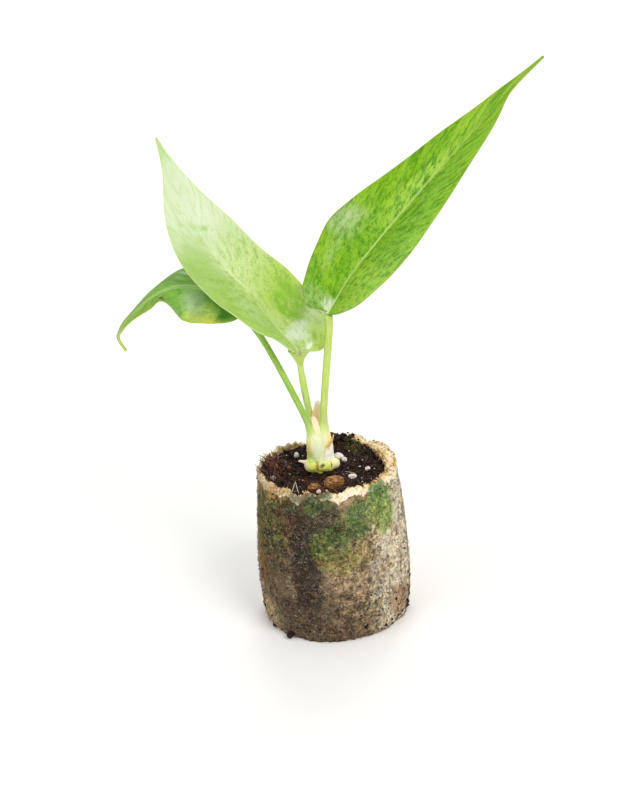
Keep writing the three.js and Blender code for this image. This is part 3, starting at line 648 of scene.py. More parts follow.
def bladeSheet(leaf, t, v):
    # Middle sheet of a blade: t runs along the midrib and v from -1 to 1 across it, with q = |v|.
    # point = rib + way sweep q^2 + right sign(v) width q cos(lift)
    #       + up (width q sin(lift) + bow width 4 q (1 - q) + ripple q^2)
    rib = through(leaf["rib"], t)
    step = 0.001
    way = unit(through(leaf["rib"], t + step) - through(leaf["rib"], t - step))
    face = through(leaf["face"], t)
    up = unit(face - dot(face, way) * way)
    right = np.cross(way, up)
    q, side = np.abs(v)[None, :, None], np.sign(v)[None, :, None]

    def halves(key):
        left, other = (through(leaf[part][key], t)[:, None] for part in ("left", "right"))
        return np.where(side < 0, left, other)

    bow = np.where(side < 0, leaf["left"]["bow"], leaf["right"]["bow"])
    phase = np.where(side < 0, *blade["phases"])
    width, lift, sweep = halves("half"), np.radians(halves("lift")), halves("sweep")
    ripple = leaf["wave"] * np.minimum(1, width / blade["waveWidth"]) * q * q * np.sin(
        2 * np.pi * (blade["waves"] * t[:, None, None] + phase))
    rise = width * q * np.sin(lift) + bow * width * 4 * q * (1 - q) + ripple
    points = (rib[:, None] + way[:, None] * sweep * q * q + right[:, None] * side * width * q * np.cos(lift)
              + up[:, None] * rise)
    return points, width[..., 0]


def bladeShape(leaf):
    # The middle sheet's two faces lie along its normal: above by thin + ribAbove exp(-(d / width)^2)
    # less the side veins, and below by thin + ribBelow exp(-(d / width)^2) with the veins, where d is
    # the distance from the midrib.
    rows, columns = blade["rows"], blade["columns"]
    t = (np.arange(rows + 1) / rows) ** blade["crowding"][0]
    j = np.arange(-columns, columns + 1) / columns
    v = np.sign(j) * np.abs(j) ** blade["crowding"][1]
    points, width = bladeSheet(leaf, t, v)
    normal = unit(np.cross(np.gradient(points, axis=1), np.gradient(points, axis=0)))
    q = np.abs(v)[None, :]
    lateral = q * width
    length = np.linalg.norm(np.diff(through(leaf["rib"], t), axis=0), axis=-1).sum()
    start = t[:, None] - blade["veinSlant"] * q ** 1.1  # where the vein through a point leaves the midrib
    offset = np.where(v < 0, 0, 0.5)[None, :]
    count = leaf["veins"]
    away = np.abs((start * count + offset) % 1 - 0.5) * length / count
    fade = ease(0.02, 0.35, q) * ease(0, 0.25, 1 - q) * ease(0, 3, width) * ease(-0.02, 0.04, start)
    vein = np.exp(-(away / blade["veinWidth"]) ** 2) * fade
    swell = blade["quilt"] * fade * np.sin(np.pi * np.clip(2 * away * count / length, 0, 1)) ** 2
    half = blade["thin"] * (1 - (1 - blade["edge"]) * q ** 8)
    above = half + blade["ribAbove"] * np.exp(-(lateral / blade["ribAboveWidth"]) ** 2)
    above = above - blade["veinDepth"] * vein + swell
    below = half + through(blade["ribBelow"], t) * np.exp(-(lateral / blade["ribBelowWidth"]) ** 2)
    below = below + blade["veinDepth"] * vein - 0.8 * swell
    shape = sheet(points + normal * above[..., None], points - normal * below[..., None])
    ones = np.ones_like(lateral)

    def both(*parts):
        # the same values on the upper and the lower face, and 1 above and 0 below as the last
        top = np.stack(parts + (ones,), -1).reshape(-1, len(parts) + 1)
        under = np.stack(parts + (0 * ones,), -1).reshape(-1, len(parts) + 1)
        return np.concatenate([top, under])

    shape["leafPlace"] = both(np.sign(v)[None, :] * lateral, start * length)
    shape["leafPart"] = both(t[:, None] * ones, v[None, :] * ones)
    shape["leafEdge"] = np.tile(((1 - q) * width).ravel(), 2)
    shape["leafVein"] = np.tile(vein.ravel(), 2)
    return shape


def leafPaint(name, look):
    # the zones tint the green softly, a few of them with painted sheen and painted shade, and the mottling
    # lightens and darkens whatever is there
    paint = Paint(name)
    place, part = paint.attribute("leafPlace"), paint.attribute("leafPart")
    along, across, above = (paint.part(part, axis) for axis in range(3))
    streak = paint.noise(paint.stretch(place, (1.9, 1, 0)), 2.3, 3, 0.6)
    grain = paint.noise(paint.stretch(place, (2.3, 1, 0)), 0.7, 3, 0.7)
    broad = paint.noise(paint.stretch(place, (0.8, 1, 0)), 8, 2)
    fleck = streak * 0.4 + grain * 0.45 + broad * 0.15
    paint.colour = paint.mix(broad.band(0.4, 0.6) * 0.5, look["green"], look["second"])
    uneven = paint.wobble(paint.stretch(part, (10, 2, 0)), 0.9, 0.3)
    patchy = (streak * 0.75 + grain * 0.25 - 0.5) * 5.5
    busy = 1
    for t, v, long, wide, code, amount, speckle, calm, soft in look["zones"]:
        mask = paint.spot(uneven, (10 * t, 2 * v, 0), (10 * long, 2 * wide, 1), soft)
        mask = paint.node("ShaderNodeClamp", {}, {0: mask * (patchy * speckle + 1) * amount})
        paint.cover(mask, code)
        if calm:
            busy = (1 - mask * calm) * busy
    lightAmount, darkAmount, calm = look["amount"]
    start, end, less = look["calmTip"]
    vivid = (1 - (across - 0.1).band(0, 0.5) * calm) * (1 - along.band(start, end) * less) * busy
    paint.cover(fleck.band(0.5, 0.57) * vivid * lightAmount, look["light"], "SCREEN")
    paint.cover(fleck.band(0.5, 0.43) * vivid * darkAmount, look["dark"], "MULTIPLY")
    paint.cover(paint.attribute("leafVein", "Fac") * look["veinTone"], look["rib"])
    rib = abs(paint.part(place, 0)).band(0.6, 0.2) * along.band(look["ribEnd"], 0.3)
    paint.cover(rib * 0.9, look["rib"])
    edge = paint.attribute("leafEdge", "Fac") + (grain - 0.5) * 0.3
    paint.cover(edge.band(look["edgeWidth"], 0.05) * 0.8, look["edge"])
    paint.cover((1 - above) * 0.8, paint.mix(fleck.band(0.4, 0.6), look["under"], look["second"]))
    skin = paint.cells(paint.stretch(place, (0.7, 1, 0)), 0.22)
    height = skin * 0.5 + grain * 0.6 + streak * 0.5
    return paint.finish(look["rough"] + (streak - 0.5) * 0.2, height, 0.05, 0.6, 0.25,
                        look["through"], look["glow"])


for side, leaf in leaves.items():
    material = leafPaint("leafSkin_" + side, leaf["look"])
    addPiece("blade_" + side, bladeShape(leaf), material, ["leaf_" + side])
print("leaf blades ready")


# Leaf stalks

stalks = {  # [t, x, y, z, radius, width over depth of the section]
    "right": [
        [0, -0.1, 2, 49.5, 1, 1], [0.25, 0.2, 1.5, 58.7, 0.96, 1], [0.53, 1.4, 1, 69.2, 0.96, 1],
        [0.76, 2.5, 0.5, 77.9, 0.98, 1], [0.92, 3.15, 0, 84, 1.02, 1], [1, 3.1, -0.35, 86.35, 1.1, 1],
    ],
    "middle": [
        [0, -2.6, 4.9, 49.5, 0.95, 1], [0.08, -2.8, 5, 51.5, 0.94, 1], [0.33, -3.9, 5, 58.3, 0.92, 1],
        [0.61, -4.8, 5, 66, 0.92, 1], [0.81, -5.2, 4.5, 71.4, 0.95, 1], [0.89, -5.3, 3.6, 73.4, 1.1, 1.5],
        [1, -5.2, 2.6, 75.8, 1.4, 2.2],
    ],
    "left": [
        [0, -3.3, 1.25, 49.3, 0.88, 1], [0.105, -3.8, 1, 53.4, 0.85, 1], [0.247, -5.5, 1.2, 58.8, 0.82, 1],
        [0.38, -7.6, 3, 63.3, 0.82, 1], [0.635, -11.8, 7, 71.7, 0.82, 1], [0.845, -15.7, 10, 78.5, 0.84, 1],
        [0.94, -17.8, 11.6, 81.1, 0.88, 1], [1, -19.3, 11.9, 82.65, 0.95, 1],
    ],
}
stalk = {
    "steps": 110,
    "sides": 30,
    "ribs": 0.018,  # depth of the fine lengthwise ribs
    "looks": {
        "right": {"green": "c2da66", "light": "dceb9c", "dark": "9ec03e"},
        "middle": {"green": "c6de72", "light": "e0eda6", "dark": "a2c643"},
        "left": {"green": "93bd42", "light": "b9d96c", "dark": "5f8c1e"},
    },
}


def stalkShape(rows):
    # a tube along the table, with fine lengthwise ribs and slow swellings of its radius
    t = np.linspace(0, 1, stalk["steps"] + 1)
    x, y, z, radius, flat = through(rows, t).T
    paths = np.stack([x, y, z], -1)[None]
    radius = radius * (1 + 0.02 * cloud(paths[0] + 5, 6, 3))
    rings = tubes(paths, radius[None], stalk["sides"], (1, 0, 0), flat[None])
    outward = unit(rings - paths[:, :, None])
    angle = 2 * np.pi * np.arange(stalk["sides"]) / stalk["sides"]
    ribs = stalk["ribs"] * np.cos(10 * angle)
    shape = capped(rings + outward * ribs[None, None, :, None])
    length = np.concatenate([[0], np.cumsum(np.linalg.norm(np.diff(paths[0], axis=0), axis=-1))])
    ends = [[0, 0, 0], [0, 0, length[-1]]]
    shape["stalkPlace"] = np.concatenate([around(1, angle, length[:, None]).reshape(-1, 3), ends])
    return shape


def stalkPaint(name, look):
    paint = Paint(name)
    place = paint.attribute("stalkPlace")
    streak = paint.noise(paint.stretch(place, (1, 1, 0.12)), 0.35, 3, 0.6)
    blotch = paint.noise(paint.stretch(place, (1, 1, 0.4)), 2.2, 2)
    paint.colour = paint.mix(streak.band(0.45, 0.7) * 0.6, look["green"], look["light"])
    paint.cover(streak.band(0.5, 0.3) * 0.45, look["dark"])
    paint.cover(blotch.band(0.55, 0.8) * 0.4, look["dark"])
    foot = (paint.part(paint.place, 2) + (blotch - 0.5) * 6).band(60, 51)
    paint.cover(foot * 0.6, "cfe69a")
    # painted shade: the stalk's left side, away from the key light, is darkened
    shaded = paint.part(place, 0).band(-0.55, -0.95)
    paint.cover(shaded * 0.45, look["dark"])
    return paint.finish(0.4 + (streak - 0.5) * 0.2, streak, 0.05, 0.5, 0.45, 0.12, "b7e05a")


for side, rows in stalks.items():
    material = stalkPaint("stalkSkin_" + side, stalk["looks"][side])
    addPiece("stalk_" + side, stalkShape(rows), material, ["petiole_" + side])
print("stalks ready")


# Crown: one swollen stem from a union of closed parts, with leaf scars, a pit and a crack

crown = {
    "trunk": [  # [height, x, y, radius across, radius deep]
        [39, -1.6, 2.2, 2.7, 2.6], [41.5, -1.7, 2.2, 3.1, 2.9], [44, -1.8, 2.3, 3.3, 3],
        [47, -1.9, 2.5, 3.2, 3], [50, -2, 2.7, 3, 2.8], [52.6, -2.1, 2.8, 2.2, 2.1],
    ],
    "nodes": [  # [centre, half sizes]
        [(-4.1, 0.5, 43.2), (2, 1.9, 1.8)], [(-0.9, -0.1, 43.3), (2.1, 1.7, 1.7)],
        [(1.5, 0.8, 43.3), (2.2, 1.7, 1.6)],
        [(0.5, -0.2, 43.2), (1.7, 1.6, 1.6)], [(-1, 4.6, 43.6), (2.6, 1.6, 1.5)],
    ],
    "rootNub": [[0, -4.6, 1.6, 43.4, 0.75], [0.6, -6.4, 1.8, 43.9, 0.5], [1, -7.7, 2, 44.2, 0.28]],
    "collars": [  # [t, x, y, z, radius], each ending on its stalk
        [[0, -0.7, 2.1, 45.5, 2], [0.5, -0.2, 2, 50, 1.95], [0.75, -0.05, 1.95, 53, 1.4],
         [1, 0.05, 1.75, 56, 1]],
        [[0, -2.3, 4, 45.5, 2], [0.5, -2.6, 4.8, 50, 1.85], [0.75, -2.85, 5, 52.6, 1.35],
         [1, -3.3, 5, 55.2, 0.95]],
        [[0, -2.7, 1.8, 45.5, 2], [0.5, -3.3, 1.2, 50, 1.75], [0.75, -3.65, 1.05, 52.4, 1.25],
         [1, -4.3, 1.02, 55.2, 0.87]],
    ],
    "voxel": 0.25,
    "smoothing": 10,
    "scars": 0.03,  # depth of the rings that old leaves left
    "scarGap": 0.95,
    "hollows": {  # centre, reach and depth
        "pit": ((-1.2, -1.7, 43.9), (0.6, 0.8, 0.4), 0.45),
        "crack": ((1.15, -0.9, 43.7), (0.15, 0.8, 0.5), 0.3),
        "groove": ((-2.6, -1.0, 43.3), (0.3, 1.2, 1.2), 0.4),
    },
    "stains": [  # centre, reach, colour, amount and softness
        ((-4.8, 1.2, 48.3), (1.2, 2.2, 2.8), "e6c65c", 0.8, 1.4),
        ((-4, 0, 45.6), (1.6, 2, 1.3), "a4c83c", 0.7, 1.2),
        ((-1.9, -0.4, 48.4), (1.6, 1.6, 3), "e8f1d0", 0.75, 1.8),
        ((0.6, 0.2, 49.3), (1, 1.5, 2.6), "f4e6a8", 0.7, 1.4),
        ((-4.3, 1.1, 54.4), (1.3, 1.6, 3), "9cc64c", 0.85, 1.4),
        ((2.8, 0.3, 43.9), (1.7, 2, 1.5), "f2eec4", 0.85, 1),
    ],
    # in the hollows: the groove's ochre and the pit's brown are the stem's own colour, and the pit's black
    # core and the crack's dark line are painted shade
    "hollowTintsAndShade": [  # hollow, reach, colour and amount
        ("groove", (0.4, 1.4, 1.5), "b8962f", 0.8), ("pit", (0.75, 1, 0.55), "6b4a1e", 0.9),
        ("pit", (0.35, 0.6, 0.25), "241708", 0.95), ("crack", (0.2, 0.9, 0.7), "3a2410", 0.9),
    ],
}


def crownParts():
    # the trunk, the ring of nodes, the root nub and the collars, each a closed part
    heights = np.linspace(crown["trunk"][0][0], crown["trunk"][-1][0], 30)[:, None]
    x, y, wide, deep = np.moveaxis(through(crown["trunk"], heights), -1, 0)
    angle = 2 * np.pi * np.arange(40) / 40
    rings = np.stack([x + wide * np.cos(angle), y + deep * np.sin(angle), heights + 0 * angle], -1)
    parts = [capped(rings[None])]
    corners, triangles = ball(4)
    parts += [shapeOf(corners * halves + centre, (), triangles) for centre, halves in crown["nodes"]]
    for rows in [crown["rootNub"]] + crown["collars"]:
        x, y, z, radius = through(rows, np.linspace(0, 1, 24)).T
        path = np.stack([x, y, z], -1)[None]
        across = (0, 1, 0) if rows is crown["rootNub"] else (1, 0, 0)
        parts.append(capped(tubes(path, radius[None], 24, across)))
    return joined(*parts)


def crownPiece(material):
    piece = addPiece("crown_stem", crownParts(), material, ["crown"])
    remesh = piece.modifiers.new("union", "REMESH")
    remesh.mode, remesh.voxel_size = "VOXEL", crown["voxel"] * mm
    soften = piece.modifiers.new("soften", "SMOOTH")
    soften.factor, soften.iterations = 0.5, crown["smoothing"]
    settled = piece.evaluated_get(bpy.context.evaluated_depsgraph_get())
    mesh = bpy.data.meshes.new_from_object(settled)
    piece.modifiers.clear()
    piece.data = mesh
    count = len(mesh.vertices)
    points, normals = np.zeros(count * 3), np.zeros(count * 3)
    mesh.vertices.foreach_get("co", points)
    mesh.vertices.foreach_get("normal", normals)
    points, normals = points.reshape(-1, 3) / mm, normals.reshape(-1, 3)
    low = ease(50, 45, points[:, 2])
    tilt = points[:, 2] + 0.5 * cloud(points, 3, 21)
    relief = crown["scars"] * np.sin(2 * np.pi * tilt / crown["scarGap"]) * low
    relief = relief + 0.1 * clouds(points, 1.6, 5) * (0.3 + low)
    for centre, reach, depth in crown["hollows"].values():
        away = np.linalg.norm((points - centre) / reach, axis=-1)
        relief = relief - depth * np.exp(-away ** 2)
    points = points + normals * relief[:, None]
    mesh.vertices.foreach_set("co", (points * mm).ravel())
    mesh.polygons.foreach_set("use_smooth", np.full(len(mesh.polygons), True))
    mesh.update()
    return piece


def crownPaint():
    paint = Paint("crownSkin")
    place = paint.place
    height = paint.part(place, 2)
    streak = paint.noise(paint.stretch(place, (1, 1, 0.2)), 0.6, 3, 0.6)
    grain = paint.noise(place, 0.35, 3, 0.6)
    uneven = paint.wobble(place, 1.5, 0.5)
    paint.colour = paint.mix(streak.band(0.35, 0.7), "d6df8a", "f5f2cc")
    foot = (height + (streak - 0.5) * 2).band(45.6, 43.6)
    paint.cover(foot, paint.mix(grain.band(0.35, 0.65), "c3cf3c", "e6e682"))
    head = (height + (streak - 0.5) * 3).band(51.5, 55)
    paint.cover(head * 0.8, "c4dd6c")
    for centre, reach, code, amount, soft in crown["stains"]:
        paint.cover(paint.spot(uneven, centre, reach, soft) * amount, code)
    # painted shade: black in the pit's core and dark brown along the crack, over the stem's own tints in the
    # hollows
    for hollow, reach, code, amount in crown["hollowTintsAndShade"]:
        paint.cover(paint.spot(uneven, crown["hollows"][hollow][0], reach) * amount, code)
    paint.cover(paint.part(place, 0).band(-4.9, -5.8), paint.mix(grain, "e2c9a8", "f3e3d2"))
    return paint.finish(0.45 + (grain - 0.5) * 0.2, streak + grain * 0.5, 0.08, 0.6, more={
        "Subsurface Weight": 0.15, "Subsurface Scale": 0.0008, "Subsurface Radius": (1, 1, 0.4)})


crownPiece(crownPaint())
print("crown ready")


# Bracts and sheath: dry ragged tongues

bracts = {
    "front": {
        "rows": [  # [t, x, y, z, half width]
            [0, -2.4, 0.7, 49.6, 1.7], [0.4, -2.6, 1.1, 52.6, 1.6], [0.7, -2.9, 1.6, 54.9, 1.4],
            [0.9, -3, 1.9, 56.3, 1], [0.97, -3.05, 2, 56.7, 0.6], [1, -3.1, 2.1, 56.9, 0.15],
        ],
        "face": (-0.15, -1, 0.2),
        "cup": 0.5,
        "ragged": 0.05,
        "colours": ("f2dfb2", "f8f0d2", "ecc8a4", "f0dcb4", "e4ecb8", 6),
    },
    "back": {
        "rows": [
            [0, -1.1, 4.6, 50.8, 1.8], [0.45, -1.3, 4.5, 55.4, 1.8], [0.85, -1.4, 4, 59, 1.1],
            [1, -1.5, 3.8, 60.5, 0.4],
        ],
        "face": (0.2, -1, 0.1),
        "cup": -0.5,
        "ragged": 0.15,
        "colours": ("ffe0a4", "fff2d0", "ffc27c", "ffffff", "f4e8a8", 2),
    },
}
bract = {"steps": 60, "columns": 14, "thin": 0.12, "pleats": 0.05}
sheath = {
    "rows": [[44.4, -1.5, 2.2, 3.5], [46.8, -1.6, 2.3, 3.55], [49, -1.7, 2.3, 3.6], [50.5, -1.6, 2.2, 3.9]],
    "from": -1.3,  # angles from +X, the lower one in front
    "to": 0.8,
    "steps": 80,
    "levels": 60,
    "thin": 0.1,
    "hug": 2.95,  # radius of the front edge
    "tornFine": 0.5,
    "tornBroad": 0.9,
}


def bractShape(look):
    # A tongue that is cupped across its width: point = spine + right v width
    # + face (cup width (1/2 - v^2) + pleats), with a ragged edge.
    t = np.linspace(0, 1, bract["steps"] + 1)
    x, y, z, width = through(look["rows"], t).T
    spine = np.stack([x, y, z], -1)
    way = unit(np.gradient(spine, axis=0))
    face = np.asarray(look["face"], float) + np.zeros_like(way)
    face = unit(face - dot(face, way) * way)
    right = np.cross(way, face)
    v = np.linspace(-1, 1, 2 * bract["columns"] + 1)
    ragged = 1 + look["ragged"] * cloud(spine * (1, 1, 2) + 9, 1.1, 4) * ease(0.2, 0.6, t)
    wide = (width * ragged)[:, None, None] * v[None, :, None]
    pleats = bract["pleats"] * np.sin(9 * v + 3 * t[:, None])[..., None]
    curve = look["cup"] * width[:, None, None] * (0.5 - v[None, :, None] ** 2) + pleats
    middle = spine[:, None] + right[:, None] * wide + face[:, None] * curve
    teeth = 1.6 * look["ragged"] * ease(0.75, 1, t)[:, None] * np.sin(7 * v) * (1 - np.abs(v))
    middle = middle + way[:, None] * teeth[..., None]
    shift = face[:, None] * bract["thin"]
    shape = sheet(middle + shift, middle - shift)
    place = np.stack([wide[..., 0], (t * 8)[:, None] + 0 * v, 0 * wide[..., 0]], -1)
    shape["bractPlace"] = np.tile(place.reshape(-1, 3), (2, 1))
    return shape


def sheathShape():
    # A wall round the right of the crown: its head rises by tornFine sin(9a) + tornBroad cos(2.2a)
    # and is ragged, and it flares out towards the head.
    angle = np.linspace(sheath["from"], sheath["to"], sheath["steps"] + 1)
    foot = sheath["rows"][0][0]
    torn = sheath["tornFine"] * np.sin(9 * angle) + sheath["tornBroad"] * np.cos(2.2 * angle)
    torn = torn + 0.3 * cloud(np.stack([angle * 4, 0 * angle, 0 * angle], -1), 0.5, 8)
    head = sheath["rows"][-1][0] - sheath["tornBroad"] + torn
    s = np.linspace(0, 1, sheath["levels"] + 1)[:, None]
    z = foot + (head - foot) * s
    x, y, radius = np.moveaxis(through(sheath["rows"], z), -1, 0)
    hugging = ease(sheath["from"] + 0.6, sheath["from"], angle)
    radius = radius + (sheath["hug"] - radius) * hugging * ease(1.1, 0.5, s)
    radius = radius + 0.06 * np.sin(26 * angle + z / 2) + 0.1 * cloud(
        np.stack([angle * 4 + 0 * z, z, 0 * z], -1), 1.3, 12) - 0.25 * ease(0.5, 1, s) * ease(0.3, 1, angle)
    shake = cloud(np.stack([2 + 0 * z, z, 0 * z], -1), 0.9, 13)
    angle = angle + 0.35 * hugging * ease(0.2, 1, s) + 0.05 * shake
    out = np.stack([np.cos(angle) + 0 * z, np.sin(angle) + 0 * z, 0 * z], -1)
    centre = np.stack([x, y, z], -1)
    shape = sheet(centre + out * (radius + sheath["thin"])[..., None],
                  centre + out * (radius - sheath["thin"])[..., None])
    place = np.stack([angle * 4 + 0 * z, 8 * s + 0 * z, hugging + 0 * z], -1)
    shape["bractPlace"] = np.tile(place.reshape(-1, 3), (2, 1))
    return shape


def bractPaint(name, main, light, dark, tip, foot, fade, head=6.2):
    # place runs across in millimetres, from 0 at the foot to 8 at the ragged head, and its third part
    # is how far the piece takes the stem's colour. The foot's colour ends at the height fade, and the
    # tip's colour starts at the height head.
    paint = Paint(name)
    place = paint.attribute("bractPlace")
    flat = paint.stretch(place, (1, 1, 0))
    line = paint.noise(paint.stretch(flat, (1, 0.12, 1)), 0.22, 3, 0.6)
    blotch = paint.noise(flat, 1.1, 3, 0.6)
    paint.colour = paint.mix(line.band(0.35, 0.65), main, light)
    paint.cover(blotch.band(0.52, 0.7) * 0.6, dark)
    height = paint.part(place, 1) + (blotch - 0.5) * 3
    paint.cover(height.band(head, 7.8) * 0.85, tip)
    paint.cover(height.band(fade, 0), foot)
    paint.cover(paint.part(place, 2).band(0, 0.9) * 0.8, foot)
    return paint.finish(0.6 + (line - 0.5) * 0.2, line, 0.03, 0.5, 0.3)


for side, look in bracts.items():
    material = bractPaint("bractSkin_" + side, *look["colours"])
    addPiece("tongue_" + side, bractShape(look), material, ["bract_" + side])
sheathSkin = bractPaint("sheathSkin", "fffaec", "ffffff", "f6dfb4", "e8b458", "eef0c4", 1.2, 4.6)
addPiece("sheath_wrap", sheathShape(), sheathSkin, ["bract_right"])
print("bracts and sheath ready")


# Paper sleeve

plug = {
    "height": 43,
    "middle": 19,  # a radius within the wall, where noise round the rim is measured
    "profile": [  # [height, radius]
        [0, 19.0], [1.5, 19.5], [5, 20.0], [12, 20.3], [22, 20.1], [32, 19.5], [40, 18.8], [46, 18.5],
    ],
    "wall": 1.25,
    "sides": 460,
    "outerRows": 160,
    "crestRows": 14,
    "innerRows": 26,
    "seam": (-0.3, 0.16, 0.45),  # angle, width and rise of the place where the paper overlaps itself
    "creases": [  # depth, number round the sleeve, twist with height and phase
        (0.16, 3, 1 / 9, 0), (0.1, 7, -1 / 6, 1), (0.08, 13, 1 / 4, 0),
    ],
    "rags": [  # torn waves of the rim: depth, number and phase
        (0.3, 5, 1), (0.35, 11, 2), (0.35, 19, 0),
    ],
    "peaks": [(0.6, 0.8), (0.55, -1.1)],  # rise and angle of the places where the rim stands highest
    "fray": (0.9, 0.25),  # how high the hem is torn, and how much of its wave stays whole
    "tear": 0.75,  # fine raggedness of the torn rim
    "bevel": (0.1, 1.5),  # how far the paper's outer layer is torn back below the rim, least and most
    "thick": (2.5, (0.4, 0.8)),  # the rim is this much thicker round one angle: rise, angle and width
    "felt": 0.3,  # depth of the felted relief
    "pits": 0.25,  # depth of the pits in it
}
zones = [  # stains on the sleeve: place, reach, colour, amount and how green it grows
    # painted light: the next two zones make the sleeve's right side, where the light falls, much lighter
    ((15.5, -12.9, 17), (8, 10, 20), "fff4e0", 0.95, 0),
    ((17.5, -7.5, 36), (3, 7, 10), "f6eedc", 0.85, 0),
    ((2, -20, 18), (10, 5, 6), "b69b7c", 0.72, 0),
    ((-7, -18.5, 6), (14, 9, 10), "4c3c34", 0.85, 0),
    ((4, -20, 8), (8, 5, 8), "8a6f56", 0.6, 0),
    ((-7.2, -18.6, 24), (5.2, 5, 13), "332a29", 0.96, 0),
    ((-8, -17.3, 35), (3.6, 4, 6), "39312f", 0.8, 0),
    ((-1.8, -19, 35.5), (4.4, 4, 4.4), "8d8068", 0.65, 0.1),
    ((-6.5, -18, 37.5), (9, 6, 5), "4a4534", 0.8, 0.1),
    ((-16.5, -9.5, 31), (6, 8, 13), "63602c", 0.88, 0.12),
    ((-16, -10.5, 18), (8, 7, 9), "655240", 0.85, 0),
    ((-18.9, -6.7, 20), (3.6, 5, 6), "96683f", 0.75, 0),
    ((-11.5, -15.1, 36), (2.4, 2.8, 4.6), "6e4038", 0.65, 0),
    ((-10.8, -15.3, 40), (2.6, 3, 3.2), "3a5a36", 0.85, 0.5),
    ((-3.6, -18.3, 41.3), (4.4, 3, 2.8), "76905a", 0.85, 0.7),
    ((12, -16.3, 17.9), (4.5, 4, 5), "a3938c", 0.35, 0),
    ((3, -19.7, 24.6), (7, 4, 4.5), "b0a850", 0.75, 0.1),
    ((7.9, -18.2, 27), (3.4, 3, 4), "ccb070", 0.55, 0),
    ((-0.6, -19.7, 29), (5.6, 4, 4), "7c9440", 0.8, 0.25),
    ((4.4, -19.2, 32.4), (6, 4, 4), "5f8438", 0.85, 0.45),
    ((8.5, -17.3, 36.8), (4.6, 4, 4), "5f9048", 0.8, 0.4),
    ((13.8, -13.3, 34.8), (3.6, 4, 6), "b8d872", 0.9, 0.6),
    ((13.2, -13.1, 41), (3.2, 4, 3.4), "84b268", 0.9, 0.6),
    ((10.9, -17, 9), (1.3, 2, 2), "3a4442", 0.75, 0),
    ((8.6, -18, 10.6), (0.8, 2, 1.5), "333a3c", 0.7, 0),
    ((17.1, -10.7, 6.8), (3.4, 5, 5), "b0743c", 0.6, 0),
    ((-13.4, -11.6, 42.4), (4.6, 4.6, 2.6), "e0b061", 0.9, 0),
    ((-9, 16.5, 37), (8, 6, 6), "5e8040", 0.85, 0.6),
    ((4, 19.5, 14), (12, 6, 13), "7a6048", 0.75, 0),
    ((13, 14, 32), (6, 6, 8), "729343", 0.75, 0.5),
    ((-18, 8, 14), (7, 8, 10), "56473a", 0.8, 0),
]
blots = [  # broken stains over those: place, reach, colour, amount and size of the blots
    ((-14, -13, 33), (7, 8, 12), "1c1a12", 0.95, 2.4),
    ((-17, -8, 32), (5, 8, 13), "9c9a4c", 0.45, 1.5),
    ((-12, -14.5, 36), (5, 6, 6), "86483a", 0.6, 1.2),
    ((-15, -11, 36), (6, 8, 8), "4c6a2c", 0.6, 1.8),
    ((3, -18, 32), (10, 6, 7), "2b4424", 0.6, 1.8),
    ((13, -14, 37), (5, 6, 7), "dbe88c", 0.5, 1.3),
    ((-3, -19, 33), (7, 5, 6), "2c2622", 0.6, 2),
    ((9, -17, 10), (11, 8, 10), "453a34", 0.4, 1),
    ((9, -17, 18), (11, 7, 13), "f6e8ca", 0.6, 1.5),
    ((2, -19, 17), (9, 6, 8), "6c5850", 0.45, 1.4),
]
rimStains = [  # place, reach, colour and amount
    ((-3.4, -18, 43.2), (4.2, 3, 2), "3f5c38", 0.9), ((-8.4, -16.6, 42.2), (3.4, 3, 2.2), "6a5a36", 0.8),
    ((-13, -12, 43.4), (4.2, 4, 1.8), "dca654", 0.8), ((12.4, -13.4, 43), (2.8, 3.2, 1.8), "6f9c54", 0.85),
    ((-18, -4, 43), (3, 8, 2.4), "b0905e", 0.6), ((-8, 15, 44), (7, 6, 1.6), "a88a52", 0.6),
]


def sleeveRadius(angle, z):
    # profile + creases + the ridge of the seam
    radius = through(plug["profile"], z)[..., 0]
    for depth, folds, twist, phase in plug["creases"]:
        radius = radius + depth * np.sin(folds * angle + twist * z + phase)
    centre, width, rise = plug["seam"]
    return radius + rise * near(angle, centre, width)


def rimHeight(angle):
    # height + rise cos(angle - peak)^3 for each peak + torn waves + fine tears
    height = plug["height"]
    for rise, peak in plug["peaks"]:
        height = height + rise * np.maximum(0, np.cos(angle - peak)) ** 3
    for depth, waves, phase in plug["rags"]:
        height = height + depth * np.sin(waves * angle + phase)
    flat = around(plug["middle"], angle, 0)
    return height + plug["tear"] * clouds(flat, 1.6, 31, 3) + 0.3 * cloud(flat, 0.6, 35)


def stained(points, centre, reach):
    # 1 in the middle of a zone and 0 outside it
    return ease(1.3, 0.6, np.linalg.norm((points - centre) / np.array(reach), axis=-1))


def greenness(points):
    # how mossy the sleeve is at each point, from the zones
    return np.max([green * stained(points, centre, reach) for centre, reach, _, _, green in zones], axis=0)


def lightness(points):
    # how light the sleeve is at each point, from the zones
    total = np.full(points.shape[:-1], 0.75)
    for centre, reach, code, amount, _ in zones:
        tone = np.dot(shade(code)[:3], (0.3, 0.6, 0.1)) ** 0.45
        total = total + (tone - total) * amount * stained(points, centre, reach)
    return total


